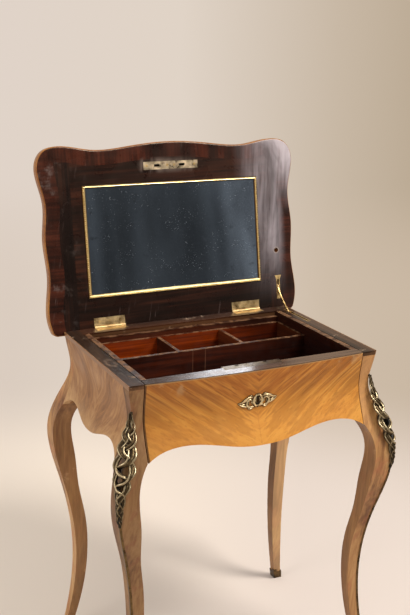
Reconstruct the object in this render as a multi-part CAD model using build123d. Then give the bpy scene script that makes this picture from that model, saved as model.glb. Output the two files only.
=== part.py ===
from build123d import *
import os
from math import asin, atan2, cos, degrees, radians, sin, sqrt, tan

# A poudreuse: a small cabriole dressing table whose lid hides a mirror.
# The whole front is the face of a deep drawer that holds the toilet compartments.
# Lengths are millimetres: X to the right, Y to the back, Z up, with the floor at zero.
# The model is drawn about the middle of the case and moved once, at the end.

# ---------------------------------------------------------------- driving dimensions
CASE_W = 520.0              # case over the corners of the top edge, left to right
CASE_D = 351.0              # case over the corners of the top edge, front to back
RAIL_TOP = 690.0            # top of the rim that the lid closes on

# the S-shaped outline shared by case, posts and legs: how far it stands outside the top edge
FOOT_OUT = 16.0
INSTEP_Z = 103.0
ANKLE_IN = 6.0
ANKLE_Z = 215.0
SHIN_OUT = 10.0
SHIN_Z = 350.0
KNEE_OUT = 31.0
KNEE_Z = 487.0
BELLY_OUT = 8.0
BELLY_Z = 566.0
NECK_IN = 8.5
NECK_Z = 620.0
COLLAR_IN = 5.0
COLLAR_Z = 657.0

POST_W = 30.0               # square post beside the drawer
LEG_TOP_Z = 546.0           # where the inner faces of post and leg part from the panels
KNEE_W = 39.0               # thickness of the leg at the knee
KNEE_UNDER_W = 38.0         # thickness 60 mm lower
SHIN_W = 29.0
CALF_W = 27.5               # thickness 55 mm lower
CALF_Z = 295.0
ANKLE_W = 25.5
INSTEP_W = 21.0
FOOT_W = 15.5

RAIL_T = 9.0                # thickness of the rim boards
RAIL_W = 30.0               # width of the rim boards
PANEL_T = 14.0              # side and back panels
APRON_LOW_Z = 547.0         # lowest point in the middle of an apron
APRON_HIGH_Z = 566.0        # crest of its two arches
CROSS_RAIL_W = 25.0
CROSS_RAIL_T = 12.0

FRONT_BOW = 11.0            # how far the drawer front bows out in plan
FRONT_INNER_Y = 23.5        # its flat back, behind the line of the top corners
DRAWER_GAP = 1.5            # beside the drawer
DRAWER_SIDE_T = 11.5
DRAWER_BACK_T = 10.0
DRAWER_BACK_DROP = 9.0      # top of the drawer back under the rim
DRAWER_LOW_Z = 582.0        # lower edge of the drawer sides
BOTTOM_T = 6.0
BOTTOM_UP = 6.0             # drawer bottom above the lower edge of the sides
BOTTOM_GROOVE = 5.0
TAIL_COUNT = 3              # lapped dovetails at each front corner
TAIL_L = 12.0
TAIL_ROOT = 20.0
TAIL_TIP = 26.0
RUNNER_H = 13.0             # side-hung runner strips
RUNNER_Z = 630.0
RUNNER_IN = 5.5             # how far a strip reaches into the groove of a drawer side
RUNNER_FIT = 0.4

PARTITION_DROP = 20.0       # tops of the partitions under the rim
PARTITION_T = 8.0
REAR_COMPARTMENT_D = 100.0  # front to back, inside
CROSS_PARTITION_AT = 0.33   # of the half width inside the drawer
CROSS_PARTITION_T = 7.0
LINING_T = 6.0
SIDE_LINING_T = 4.0

LID_T = 22.0
LID_GAP = 0.4               # between the closed lid and the rim
LID_REAR = 10.0             # lid behind the hinge line
LID_OVER_FRONT = 22.5       # the serpentine front edge beyond the line of the front corners
LID_OVER_SIDE = 29.5        # the corner lobes beyond the sides
LID_SIDE_HOLLOW = 8.0       # depth of the hollows in the side edges
LID_SIDE_LOBE = 3.0         # middle lobe of a side edge inside the corner lobes
LID_FRONT_HOLLOW = 11.5
LID_CORNER_SET = 2.5        # corner lobes behind the middle lobe
LID_TOP_ROUND = 5.0
LID_LOW_ROUND = 4.0
LID_LEAN = 9.2              # the open lid leans back past the vertical, degrees

HINGE_Y = 1.5               # hinge line behind the case
HINGE_IN = 100.0            # middle of a hinge inside the corner of the case
HINGE_L = 68.0
HINGE_LEAF = 20.0
HINGE_T = 2.0
BARREL_R = 3.4
HINGE_PIN_R = 1.6
PIN_FIT = 0.05
KNUCKLES = 5
KNUCKLE_GAP = 0.2
BARREL_ROOM = 0.4           # wood cut away round the barrel

MIRROR_IN = 93.0            # sides of the mirror inside the corner lobes of the lid
MIRROR_LOW = 66.5           # its lower edge above the hinge line
MIRROR_HIGH = 87.5          # its upper edge below the front edge of the lid
MIRROR_T = 4.0
BACKING_T = 2.5
MIRROR_SET = 0.5            # mirror face inside the face of the lid
FILLET_W = 6.6              # gilt fillets round the mirror
FILLET_OUT = 4.5            # how far they lap onto the lid
FILLET_H = 3.5

LOCK_X = -4.5               # lock, strike and keyhole sit a little left of the middle
LOCK_IN = 26.9              # line of the hooks behind the line of the front corners
STRIKE_SHIFT = 3.0          # its middle beside the lock
STRIKE_L = 124.0
STRIKE_W = 16.5
PLATE_T = 1.6               # strike, lock top, stay plates
HOOK_SPREAD = 56.5          # between the two hook slots
HOOK_IN_R = 14.0
HOOK_OUT_R = 18.0
HOOK_T = 3.5
HOOK_DROP = 10.5            # hook pivots under the rim
HOOK_REST = 24.0            # angle of a hook's tip at rest
HOOK_BODY = 54.0            # length of a hook's arc, degrees
HOOK_HUB_R = 5.0
HOOK_PIN_R = 2.0
HOOK_TURN = 58.0            # how far a hook turns to catch the strike
LOCK_CASE_W = 96.0
LOCK_CASE_H = 74.0
LOCK_CASE_D = 14.0
LOCK_WALL = 1.5
LOCK_TOP_L = 122.0
LOCK_TOP_W = 19.0
KEY_Z = 628.0
KEY_R = 1.9
ESCUTCHEON_SHIFT = -3.5     # its middle beside the keyhole
ESCUTCHEON_W = 90.0
ESCUTCHEON_H = 29.0
ESCUTCHEON_T = 3.5

STAY_IN = 15.0              # stay inside the corner of the case
STAY_V = 45.0               # stay pivot, along the lid
STAY_DEEP = 3.0             # stay pivot, inside the lid
STAY_T = 2.4
STAY_W = 4.2
STAY_L = 95.0               # pivot to end pin
STAY_BEND_AT = 28.0         # where the arm bulges most
STAY_BEND = 5.0
STAY_ANGLE = 39.5           # arm below the horizontal with the lid open, degrees
STAY_PIN_R = 1.3
STAY_EYE = 0.6              # the eye round the pin is this much wider than the arm, each side
STAY_END_R = 1.8
STAY_END_L = 6.4
STAY_PLATE_W = 9.0
STAY_PLATE_L = 106.0
STAY_PLATE_IN = 23.0        # back end of the plate in front of the hinge line
STAY_SLOT_W = 3.6
STAY_SLOT_MARGIN = 6.0
STAY_POCKET_W = 8.0
STAY_POCKET_Z = 656.0
BRACKET_V0 = 17.0
BRACKET_V1 = 70.0
BRACKET_SLOT_V0 = 29.0
BRACKET_SLOT_V1 = 61.0
BRACKET_FLARE = 16.0

LID_HOLE_IN = 16.5
LID_HOLE_V = 126.4
LID_HOLE_R = 4.5
LID_HOLE_DEEP = 9.0

CHUTE_TOP_Z = 640.0         # bronze knee mounts
CHUTE_LOW_Z = 439.0
CHUTE_FACE_OUT = 36.0       # how far their face stands outside the top edge, at the knee
CHUTE_EDGE_IN = 16.5        # how far they wrap round, at the widest
ARRIS_SIZE = 4.5            # brass strip let into the corner of a front leg
ARRIS_PROUD = 1.0
SABOT_T = 2.0
SABOT_FLOOR = 4.0
SABOT_H = 27.0
SABOT_DIP = 8.0

SCREW_R = 1.4
SCREW_HEAD_R = 2.8
SCREW_L = 9.0
SCREW_SLOT = 0.7

# ---------------------------------------------------------------- worked-out places
HALF_W = CASE_W / 2
HALF_D = CASE_D / 2
REACH = 2 * CASE_W          # longer than anything that is cut
HINGE_LINE_Y = HALF_D + HINGE_Y
HINGE_X = HALF_W - HINGE_IN
LID_HALF_W = HALF_W + LID_OVER_SIDE
LID_FRONT = HINGE_LINE_Y + HALF_D + LID_OVER_FRONT
MIRROR_HALF_W = LID_HALF_W - MIRROR_IN
MIRROR_BACK_Y = HINGE_LINE_Y - MIRROR_LOW
MIRROR_FRONT_Y = HINGE_LINE_Y - LID_FRONT + MIRROR_HIGH
HINGE_LINE_Z = RAIL_TOP + LID_GAP / 2
LID_FACE_Z = RAIL_TOP + LID_GAP
OPEN_TURN = 90 + LID_LEAN
HINGE_AXIS = Axis((0, HINGE_LINE_Y, HINGE_LINE_Z), (1, 0, 0))
FRONT_BACK_Y = -(HALF_D - FRONT_INNER_Y)
DRAWER_HALF_W = HALF_W - POST_W - DRAWER_GAP
DRAWER_IN_X = DRAWER_HALF_W - DRAWER_SIDE_T
BACK_RAIL_Y = HALF_D - RAIL_W
DRAWER_END_Y = BACK_RAIL_Y - DRAWER_GAP
BOX_BACK_Y = DRAWER_END_Y - DRAWER_BACK_T
REAR_LINING_Y = BOX_BACK_Y - LINING_T
PARTITION_BACK_Y = REAR_LINING_Y - REAR_COMPARTMENT_D
CROSS_PARTITION_X = CROSS_PARTITION_AT * DRAWER_IN_X
FLOOR_Z = DRAWER_LOW_Z + BOTTOM_UP + BOTTOM_T
PARTITION_TOP = RAIL_TOP - PARTITION_DROP
STRIKE_X = LOCK_X + STRIKE_SHIFT
STRIKE_Y = LOCK_IN - HALF_D
HOOK_PIVOT = HOOK_SPREAD / 2 - (HOOK_IN_R + HOOK_OUT_R) / 2 + 5
HOOK_Z = RAIL_TOP - HOOK_DROP
STAY_X = HALF_W - STAY_IN
STAY_PIVOT_Y = HINGE_LINE_Y - STAY_V
STAY_PIVOT_Z = LID_FACE_Z + STAY_DEEP
STAY_PLATE_BACK_Y = HINGE_LINE_Y - STAY_PLATE_IN
STAY_PLATE_FRONT_Y = STAY_PLATE_BACK_Y - STAY_PLATE_L

OUTLINE = [
    (FOOT_OUT, 0),
    (0, INSTEP_Z),
    (-ANKLE_IN, ANKLE_Z),
    (SHIN_OUT, SHIN_Z),
    (KNEE_OUT, KNEE_Z),
    (BELLY_OUT, BELLY_Z),
    (-NECK_IN, NECK_Z),
    (-COLLAR_IN, COLLAR_Z),
    (0, RAIL_TOP),
]

LEG_INSIDE = [
    (FOOT_OUT - FOOT_W, 0),
    (-INSTEP_W, INSTEP_Z),
    (-ANKLE_IN - ANKLE_W, ANKLE_Z),
    (-CALF_W, CALF_Z),
    (SHIN_OUT - SHIN_W, SHIN_Z),
    (KNEE_OUT - KNEE_UNDER_W - 6, KNEE_Z - 60),
    (KNEE_OUT - KNEE_W, KNEE_Z),
    (-POST_W, LEG_TOP_Z),
]


CHUTE_FACE = [
    (CHUTE_FACE_OUT - 8, CHUTE_LOW_Z),
    (CHUTE_FACE_OUT - 1, CHUTE_LOW_Z + 21),
    (CHUTE_FACE_OUT, KNEE_Z + 18),
    (CHUTE_FACE_OUT - 11, BELLY_Z - 11),
    (CHUTE_FACE_OUT - 27, BELLY_Z + 27),
    (-COLLAR_IN, CHUTE_TOP_Z),
]

CHUTE_EDGE = [
    (CHUTE_FACE_OUT - 9, CHUTE_LOW_Z),
    (CHUTE_FACE_OUT - 15, KNEE_Z - 7),
    (CHUTE_FACE_OUT - 29, KNEE_Z + 30),
    (-CHUTE_EDGE_IN + 7.5, BELLY_Z - 23),
    (-CHUTE_EDGE_IN, BELLY_Z + 14),
    (-COLLAR_IN - 3, CHUTE_TOP_Z),
]


# ---------------------------------------------------------------- small helpers
def along_y(face, half=REACH):
    """Extrude a face drawn as (x, z) both ways along Y."""
    return extrude(Plane.XZ * face, half, both=True)


def along_x(face, half=REACH):
    """Extrude a face drawn as (y, z) both ways along X."""
    return extrude(Plane.YZ * face, half, both=True)


def box(x0, x1, y0, y1, z0, z1):
    """A block between two corners."""
    size = (x1 - x0, y1 - y0, z1 - z0)
    middle = ((x0 + x1) / 2, (y0 + y1) / 2, (z0 + z1) / 2)
    return Pos(*middle) * Box(*size)


def rod_x(x0, x1, y, z, radius):
    """A round rod along X."""
    return Pos((x0 + x1) / 2, y, z) * Rot(0, 90, 0) * Cylinder(radius, x1 - x0)


def rod_y(x, y0, y1, z, radius):
    """A round rod along Y."""
    return Pos(x, (y0 + y1) / 2, z) * Rot(90, 0, 0) * Cylinder(radius, y1 - y0)


def closed_face(*edges):
    """A flat face inside edges that meet end to end."""
    return make_face(Curve() + list(edges))


def filled_outline(half, grow=0.0):
    """All that lies inside the S-shaped outline, down one side of the case."""
    points = [(half + out + grow, z) for out, z in OUTLINE]
    edge = Spline(*points)
    foot, top = edge @ 0, edge @ 1
    return closed_face(edge, Line(top, (0, top.Y)), Line((0, top.Y), (0, foot.Y)), Line((0, foot.Y), foot))


def outline_band(half, inner, outer):
    """The strip between two copies of the outline."""
    low = Spline(*[(half + out + inner, z) for out, z in OUTLINE])
    high = Spline(*[(half + out + outer, z) for out, z in OUTLINE])
    return closed_face(low, Line(low @ 1, high @ 1), high, Line(high @ 0, low @ 0))


def leg_band(half, grow=0.0):
    """Outline of a cabriole leg and its post, seen square on."""
    outer = Spline(*[(half + out + grow, z) for out, z in OUTLINE])
    inner = Spline(*[(half + out - grow, z) for out, z in LEG_INSIDE])
    post = Line(inner @ 1, (half - POST_W - grow, RAIL_TOP))
    return closed_face(outer, Line(outer @ 1, post @ 1), post, inner, Line(inner @ 0, outer @ 0))


def corner(width_face, depth_face):
    """The piece whose two views are the given faces, at the back right corner."""
    return along_y(width_face) & along_x(depth_face)


def mirrored(shape, left=False, front=False):
    """Move a piece made at the back right corner to another corner."""
    if left:
        shape = mirror(shape, Plane.YZ)
    if front:
        shape = mirror(shape, Plane.XZ)
    return shape


def apron_below(half_width, end_z):
    """What is cut away under an apron: two arches with a drop between them."""
    arch = half_width * 0.73
    shoulder = half_width * 0.46
    drop = APRON_HIGH_Z - APRON_LOW_Z
    right = [
        (half_width, end_z),
        (half_width * 0.89, end_z + 0.65 * (APRON_HIGH_Z - end_z)),
        (arch, APRON_HIGH_Z),
        (shoulder, APRON_HIGH_Z - 0.25 * drop),
        (half_width * 0.2, APRON_LOW_Z + 0.15 * drop),
        (0, APRON_LOW_Z),
    ]
    left = [(-x, z) for x, z in reversed(right[:-1])]
    edge = Spline(*(right + left))
    floor_z = -1
    out = half_width + POST_W
    return closed_face(
        edge,
        Line(edge @ 1, (-out, end_z)),
        Line((-out, end_z), (-out, floor_z)),
        Line((-out, floor_z), (out, floor_z)),
        Line((out, floor_z), (out, end_z)),
        Line((out, end_z), edge @ 0),
    )


def screw(x, y, z, up=True):
    """A countersunk wood screw with its head at (x, y, z); its point goes up or down."""
    head_h = SCREW_HEAD_R - SCREW_R
    shank = Pos(0, 0, SCREW_L / 2) * Cylinder(SCREW_R, SCREW_L)
    head = Pos(0, 0, head_h / 2) * Cone(SCREW_HEAD_R, SCREW_R, head_h)
    body = shank + head
    slot = Box(2 * SCREW_HEAD_R, SCREW_SLOT, SCREW_SLOT)
    turn = Rot(0, 0, 0) if up else Rot(180, 0, 0)
    place = Pos(x, y, z) * turn
    return place * body, place * (body - slot)


def open_lid(shape):
    """Swing a piece of the closed lid to where it rests, leaning back."""
    return shape.rotate(HINGE_AXIS, -OPEN_TURN)


# ---------------------------------------------------------------- legs and their mounts
def make_legs(parts):
    leg = corner(leg_band(HALF_W), leg_band(HALF_D))
    leg = leg & box(0, REACH, 0, REACH, SABOT_FLOOR, RAIL_TOP - RAIL_T)
    strip = corner(
        outline_band(HALF_W, ARRIS_PROUD - ARRIS_SIZE, ARRIS_PROUD),
        outline_band(HALF_D, ARRIS_PROUD - ARRIS_SIZE, ARRIS_PROUD),
    )
    strip = strip & box(0, REACH, 0, REACH, SABOT_H, CHUTE_LOW_Z)
    shell = corner(leg_band(HALF_W, SABOT_T), leg_band(HALF_D, SABOT_T))
    shell = shell & box(0, REACH, 0, REACH, 0, SABOT_H)
    foot_x = HALF_W + FOOT_OUT - FOOT_W / 2
    foot_y = HALF_D + FOOT_OUT - FOOT_W / 2
    dip_r = FOOT_W / 2
    dip = Pos(foot_x, 0, SABOT_H + dip_r - SABOT_DIP) * Rot(90, 0, 0) * Cylinder(dip_r, 2 * REACH)
    dip += Pos(0, foot_y, SABOT_H + dip_r - SABOT_DIP) * Rot(0, 90, 0) * Cylinder(dip_r, 2 * REACH)
    sabot = shell - leg - (dip & box(0, REACH, 0, REACH, SABOT_FLOOR, REACH))
    chute = make_chute()
    for name, left, front in CORNERS:
        wood = leg - strip if front else leg
        parts["leg_" + name] = mirrored(wood, left, front)
        parts["sabot_" + name] = mirrored(sabot, left, front)
        if front:
            parts["arris_strip_" + name] = mirrored(strip, left, front)
            parts["chute_" + name] = mirrored(chute, left, front)


CORNERS = [
    ("front_left", True, True),
    ("front_right", False, True),
    ("back_left", True, False),
    ("back_right", False, False),
]


def chute_leaf(half):
    """A knee mount seen square on: a leaf between its edge and its proud face."""
    face = Spline(*[(half + out, z) for out, z in CHUTE_FACE])
    edge = Spline(*[(half + out, z) for out, z in CHUTE_EDGE])
    return closed_face(face, Line(face @ 1, edge @ 1), edge, Line(edge @ 0, face @ 0))


def make_chute():
    """A leaf-shaped shell that wraps the corner of the knee."""
    leaf = corner(chute_leaf(HALF_W), chute_leaf(HALF_D))
    return leaf - corner(filled_outline(HALF_W), filled_outline(HALF_D))


# ---------------------------------------------------------------- case
def make_case(parts):
    inside_d = HALF_D - POST_W
    inside_w = HALF_W - POST_W
    top = RAIL_TOP - RAIL_T
    side = along_y(outline_band(HALF_W, -PANEL_T, 0), inside_d) & box(0, REACH, -REACH, REACH, 0, top)
    side -= along_x(apron_below(inside_d, LEG_TOP_Z))
    back = along_x(outline_band(HALF_D, -PANEL_T, 0), inside_w) & box(-REACH, REACH, 0, REACH, 0, top)
    back -= along_y(apron_below(inside_w, LEG_TOP_Z))
    pocket = stay_pocket()
    parts["side_panel_left"] = mirror(side, Plane.YZ)
    parts["side_panel_right"] = side - pocket
    parts["back_panel"] = back

    half_plan = corner(filled_outline(HALF_W), filled_outline(HALF_D))
    rim = half_plan & box(inside_w, REACH, 0, REACH, top, RAIL_TOP)
    rim += mirror(rim, Plane.XZ)
    rear = along_x(filled_outline(HALF_D), inside_w) & box(-REACH, REACH, BACK_RAIL_Y, REACH, top, RAIL_TOP)
    rear -= hinge_room()
    parts["rim_left"] = mirror(rim, Plane.YZ)
    parts["rim_right"] = rim - pocket - stay_plate_blank()
    parts["rim_back"] = rear

    strip = box(DRAWER_HALF_W - RUNNER_IN, HALF_W, -inside_d + DRAWER_GAP, inside_d,
                RUNNER_Z - RUNNER_H / 2, RUNNER_Z + RUNNER_H / 2)
    runner = strip - side - along_y(outline_band(HALF_W, -PANEL_T, REACH / 4))
    parts["runner_left"] = mirror(runner, Plane.YZ)
    parts["runner_right"] = runner

    rail_top = DRAWER_LOW_Z - DRAWER_GAP
    rail = box(-HALF_W, HALF_W, -inside_d, -inside_d + CROSS_RAIL_W, rail_top - CROSS_RAIL_T, rail_top)
    panels = along_y(outline_band(HALF_W, -PANEL_T, REACH / 4))
    parts["front_cross_rail"] = rail - panels - mirror(panels, Plane.YZ)


# ---------------------------------------------------------------- drawer
def bowed_front(grow=0.0):
    """The S-shaped outline swung along the bow of the drawer front."""
    half = HALF_W - POST_W
    swing = (half * half + FRONT_BOW * FRONT_BOW) / (2 * FRONT_BOW)
    centre_y = swing - HALF_D - FRONT_BOW
    face = mirror(Plane.YZ * filled_outline(HALF_D + FRONT_BOW, grow), Plane.XZ)
    spread = 2 * degrees(asin(HALF_W / swing))
    axis = Axis((0, centre_y, 0), (0, 0, 1))
    return revolve(face.rotate(axis, -spread / 2), axis, spread)


def dovetails(grow=0.0):
    """The tails on the front end of the right drawer side."""
    tails = []
    pitch = (RAIL_TOP - FLOOR_Z) / TAIL_COUNT
    for i in range(TAIL_COUNT):
        z = FLOOR_Z + pitch * (i + 0.5)
        tail = Polygon(
            (FRONT_BACK_Y, z - TAIL_ROOT / 2),
            (FRONT_BACK_Y, z + TAIL_ROOT / 2),
            (FRONT_BACK_Y - TAIL_L, z + TAIL_TIP / 2),
            (FRONT_BACK_Y - TAIL_L, z - TAIL_TIP / 2),
            align=None,
        )
        prism = Pos(DRAWER_IN_X, 0, 0) * extrude(Plane.YZ * tail, DRAWER_SIDE_T)
        tails.append(prism)
    return tails


def make_drawer(parts):
    front = bowed_front() & box(-DRAWER_HALF_W, DRAWER_HALF_W, -REACH, FRONT_BACK_Y, LEG_TOP_Z, RAIL_TOP)
    for room in lock_room():
        front -= room
    front -= along_y(apron_below(DRAWER_HALF_W, LEG_TOP_Z))
    bottom_z = DRAWER_LOW_Z + BOTTOM_UP
    bottom = box(-DRAWER_IN_X - BOTTOM_GROOVE, DRAWER_IN_X + BOTTOM_GROOVE,
                 FRONT_BACK_Y - BOTTOM_GROOVE, DRAWER_END_Y, bottom_z, FLOOR_Z)
    side = box(DRAWER_IN_X, DRAWER_HALF_W, FRONT_BACK_Y, DRAWER_END_Y, DRAWER_LOW_Z, RAIL_TOP)
    tails = dovetails()
    for tail in tails:
        side += tail
    groove = box(DRAWER_HALF_W - RUNNER_IN - RUNNER_FIT, REACH, FRONT_BACK_Y, REACH,
                 RUNNER_Z - RUNNER_H / 2 - RUNNER_FIT, RUNNER_Z + RUNNER_H / 2 + RUNNER_FIT)
    side -= groove
    side -= bottom
    back = box(-DRAWER_IN_X, DRAWER_IN_X, BOX_BACK_Y, DRAWER_END_Y, FLOOR_Z, RAIL_TOP - DRAWER_BACK_DROP)
    left_side = mirror(side, Plane.YZ)
    front -= side
    front -= left_side
    front -= bottom
    parts["drawer_front"] = front
    parts["drawer_side_left"] = left_side
    parts["drawer_side_right"] = side
    parts["drawer_back"] = back
    parts["drawer_bottom"] = bottom
    make_compartments(parts)


def make_compartments(parts):
    front_y = PARTITION_BACK_Y - PARTITION_T
    rear_y = REAR_LINING_Y
    side_x = DRAWER_IN_X - SIDE_LINING_T
    half_t = CROSS_PARTITION_T / 2
    parts["partition_long"] = box(-DRAWER_IN_X, DRAWER_IN_X, front_y, PARTITION_BACK_Y, FLOOR_Z, PARTITION_TOP)
    parts["lining_back"] = box(-DRAWER_IN_X, DRAWER_IN_X, rear_y, BOX_BACK_Y, FLOOR_Z, PARTITION_TOP)
    cross = box(CROSS_PARTITION_X - half_t, CROSS_PARTITION_X + half_t,
                PARTITION_BACK_Y, rear_y, FLOOR_Z, PARTITION_TOP)
    lining = box(side_x, DRAWER_IN_X, PARTITION_BACK_Y, rear_y, FLOOR_Z, PARTITION_TOP)
    parts["partition_left"] = mirror(cross, Plane.YZ)
    parts["partition_right"] = cross
    parts["lining_left"] = mirror(lining, Plane.YZ)
    parts["lining_right"] = lining


# ---------------------------------------------------------------- lock
def lock_box(wall=0.0):
    """The outside of the lock case, or its inside when a wall is given."""
    back_y = STRIKE_Y + HOOK_T / 2 + RUNNER_FIT + LOCK_WALL
    return box(
        LOCK_X - LOCK_CASE_W / 2 + wall,
        LOCK_X + LOCK_CASE_W / 2 - wall,
        back_y - LOCK_CASE_D + wall,
        back_y - wall,
        RAIL_TOP - PLATE_T - LOCK_CASE_H + wall,
        RAIL_TOP - PLATE_T,
    )


def lock_top_blank():
    """The plate let into the top edge of the drawer front, over the lock."""
    back_y = STRIKE_Y + HOOK_T / 2 + RUNNER_FIT + LOCK_WALL
    return box(
        LOCK_X - LOCK_TOP_L / 2,
        LOCK_X + LOCK_TOP_L / 2,
        back_y - LOCK_TOP_W,
        back_y,
        RAIL_TOP - PLATE_T,
        RAIL_TOP,
    )


def keyhole(y0, y1, radius=KEY_R):
    """A round hole over a narrow slot, for a small key."""
    face = Circle(radius) + Pos(0, -1.6 * radius) * Rectangle(1.2 * radius, 3.2 * radius)
    return Pos(LOCK_X, y1, KEY_Z) * extrude(Plane.XZ * face, y1 - y0)


def lock_room():
    """What the lock and the key take out of the drawer front."""
    seat = lock_box() + lock_top_blank()
    screw_holes = [whole for whole, _ in lock_screws()]
    key_room = box(LOCK_X - KEY_R, LOCK_X + KEY_R, -HALF_D - 2 * FRONT_BOW, FRONT_BACK_Y,
                   KEY_Z - 3.2 * KEY_R, KEY_Z + KEY_R)
    return [key_room, seat] + screw_holes


def lock_screws():
    """Two screws hold the top plate to the front."""
    inset = 3.5
    blank = lock_top_blank().bounding_box()
    y = blank.min.Y + SCREW_HEAD_R + 2
    xs = (blank.min.X + inset, blank.max.X - inset)
    return [screw(x, y, RAIL_TOP, up=False) for x in xs]


def hook_slot(side):
    """Room for a rising hook through the plate over the lock."""
    x0 = HOOK_PIVOT + sqrt(HOOK_IN_R ** 2 - HOOK_DROP ** 2) - 0.8
    x1 = HOOK_PIVOT + sqrt(HOOK_OUT_R ** 2 - (HOOK_DROP - PLATE_T) ** 2) + 0.8
    half_t = HOOK_T / 2 + RUNNER_FIT
    lo, hi = sorted((LOCK_X + side * x0, LOCK_X + side * x1))
    return box(lo, hi, STRIKE_Y - half_t, STRIKE_Y + half_t, RAIL_TOP - 2 * PLATE_T, RAIL_TOP + PLATE_T)


def make_hook(side):
    """A curved catch that swings up out of the lock, about a pin along Y."""
    arc_start = HOOK_REST - HOOK_BODY
    ring = Circle(HOOK_OUT_R) - Circle(HOOK_IN_R)
    far = 2 * HOOK_OUT_R
    wedge = Polygon(
        (0, 0),
        (far * cos(radians(arc_start)), far * sin(radians(arc_start))),
        (far, 0),
        (far * cos(radians(HOOK_REST)), far * sin(radians(HOOK_REST))),
        align=None,
    )
    arm = Rot(0, 0, arc_start + 8) * Pos(HOOK_IN_R / 2 + 1, 0) * Rectangle(HOOK_IN_R + 2, 4)
    face = (ring & wedge) + arm + Circle(HOOK_HUB_R)
    face -= Circle(HOOK_PIN_R + PIN_FIT)
    hook = extrude(Plane.XZ * face, HOOK_T / 2, both=True)
    hook = Pos(HOOK_PIVOT, STRIKE_Y, HOOK_Z) * hook
    if side < 0:
        hook = mirror(hook, Plane.YZ)
    return Pos(LOCK_X, 0, 0) * hook


def make_lock(parts):
    lock = lock_box() - lock_box(LOCK_WALL)
    outer = lock.bounding_box()
    lock -= keyhole(outer.min.Y - 1, outer.min.Y + LOCK_WALL + 1)
    top = lock_top_blank()
    screws = lock_screws()
    for whole, _ in screws:
        top -= whole
    pins = []
    for side in (-1, 1):
        top -= hook_slot(side)
        x = LOCK_X + side * HOOK_PIVOT
        pin = rod_y(x, outer.min.Y, outer.max.Y, HOOK_Z, HOOK_PIN_R)
        lock -= pin
        pins.append(pin)
    parts["lock_case"] = lock
    parts["lock_top_plate"] = top
    parts["lock_pivot_pins"] = Compound(pins)
    parts["lock_screws"] = Compound([body for _, body in screws])
    parts["lock_hook_left"] = make_hook(-1)
    parts["lock_hook_right"] = make_hook(1)
    parts["escutcheon"] = make_escutcheon()


def make_escutcheon():
    """A leaf-shaped plate that lies on the curved drawer front, with a keyhole."""
    w, h = ESCUTCHEON_W / 2, ESCUTCHEON_H / 2
    upper = Spline((-w, 0), (-w * 0.45, h * 0.6), (0, h), (w * 0.45, h * 0.6), (w, 0))
    lower = Spline((w, 0), (w * 0.45, -h * 0.7), (0, -h), (-w * 0.45, -h * 0.7), (-w, 0))
    plate = along_y(Pos(LOCK_X + ESCUTCHEON_SHIFT, KEY_Z) * closed_face(upper, lower))
    shell = (bowed_front(ESCUTCHEON_T) & plate) - bowed_front()
    return shell - keyhole(-HALF_D - 2 * FRONT_BOW, FRONT_BACK_Y, 1.3 * KEY_R)


# ---------------------------------------------------------------- hinges
def knuckle_spans(first):
    """The stretches of the barrel that one leaf owns: every other knuckle."""
    pitch = HINGE_L / KNUCKLES
    start = -HINGE_L / 2
    return [(start + i * pitch, start + (i + 1) * pitch - KNUCKLE_GAP) for i in range(first, KNUCKLES, 2)]


def hinge_leaf(first, low, high):
    """A leaf with its knuckles, about x = 0; low and high are its faces."""
    y, z = HINGE_LINE_Y, HINGE_LINE_Z
    root = y - BARREL_R - BARREL_ROOM
    leaf = box(-HINGE_L / 2, HINGE_L / 2, y - HINGE_LEAF, root, low, high)
    for x0, x1 in knuckle_spans(first):
        leaf += box(x0, x1, root, y, low, high)
        leaf += rod_x(x0, x1, y, z, BARREL_R)
    fit = 0.0 if first == 0 else PIN_FIT
    return leaf - rod_x(-REACH, REACH, y, z, HINGE_PIN_R + fit)


def hinge_room():
    """What the two hinges take out of the back rim."""
    room = Part()
    for side in (-1, 1):
        place = Pos(side * HINGE_X, 0, 0)
        y, z = HINGE_LINE_Y, HINGE_LINE_Z
        seat = box(-HINGE_L / 2, HINGE_L / 2, y - HINGE_LEAF, REACH, RAIL_TOP - HINGE_T, RAIL_TOP + HINGE_T)
        room += place * seat
        room += place * rod_x(-HINGE_L / 2, HINGE_L / 2, y, z, BARREL_R + BARREL_ROOM)
        for whole, _ in hinge_screws(side, RAIL_TOP, up=False):
            room += whole
    return room


def lid_hinge_room():
    """What the two hinges take out of the lid."""
    room = Part()
    for side in (-1, 1):
        place = Pos(side * HINGE_X, 0, 0)
        y, z = HINGE_LINE_Y, HINGE_LINE_Z
        root = y - BARREL_R - BARREL_ROOM
        room += place * box(-HINGE_L / 2, HINGE_L / 2, y - HINGE_LEAF, root + 1, LID_FACE_Z - 1, LID_FACE_Z + HINGE_T)
        room += place * rod_x(-HINGE_L / 2, HINGE_L / 2, y, z, BARREL_R + BARREL_ROOM)
        room += place * box(-HINGE_L / 2, HINGE_L / 2, root, y, LID_FACE_Z - 1, LID_FACE_Z + HINGE_T)
        for whole, _ in hinge_screws(side, LID_FACE_Z, up=True):
            room += whole
    return room


def hinge_screws(side, face_z, up):
    """Three countersunk screws through a leaf."""
    y = HINGE_LINE_Y - 0.6 * HINGE_LEAF
    pitch = HINGE_L / 3
    return [screw(side * HINGE_X + i * pitch, y, face_z, up) for i in (-1, 0, 1)]


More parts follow.
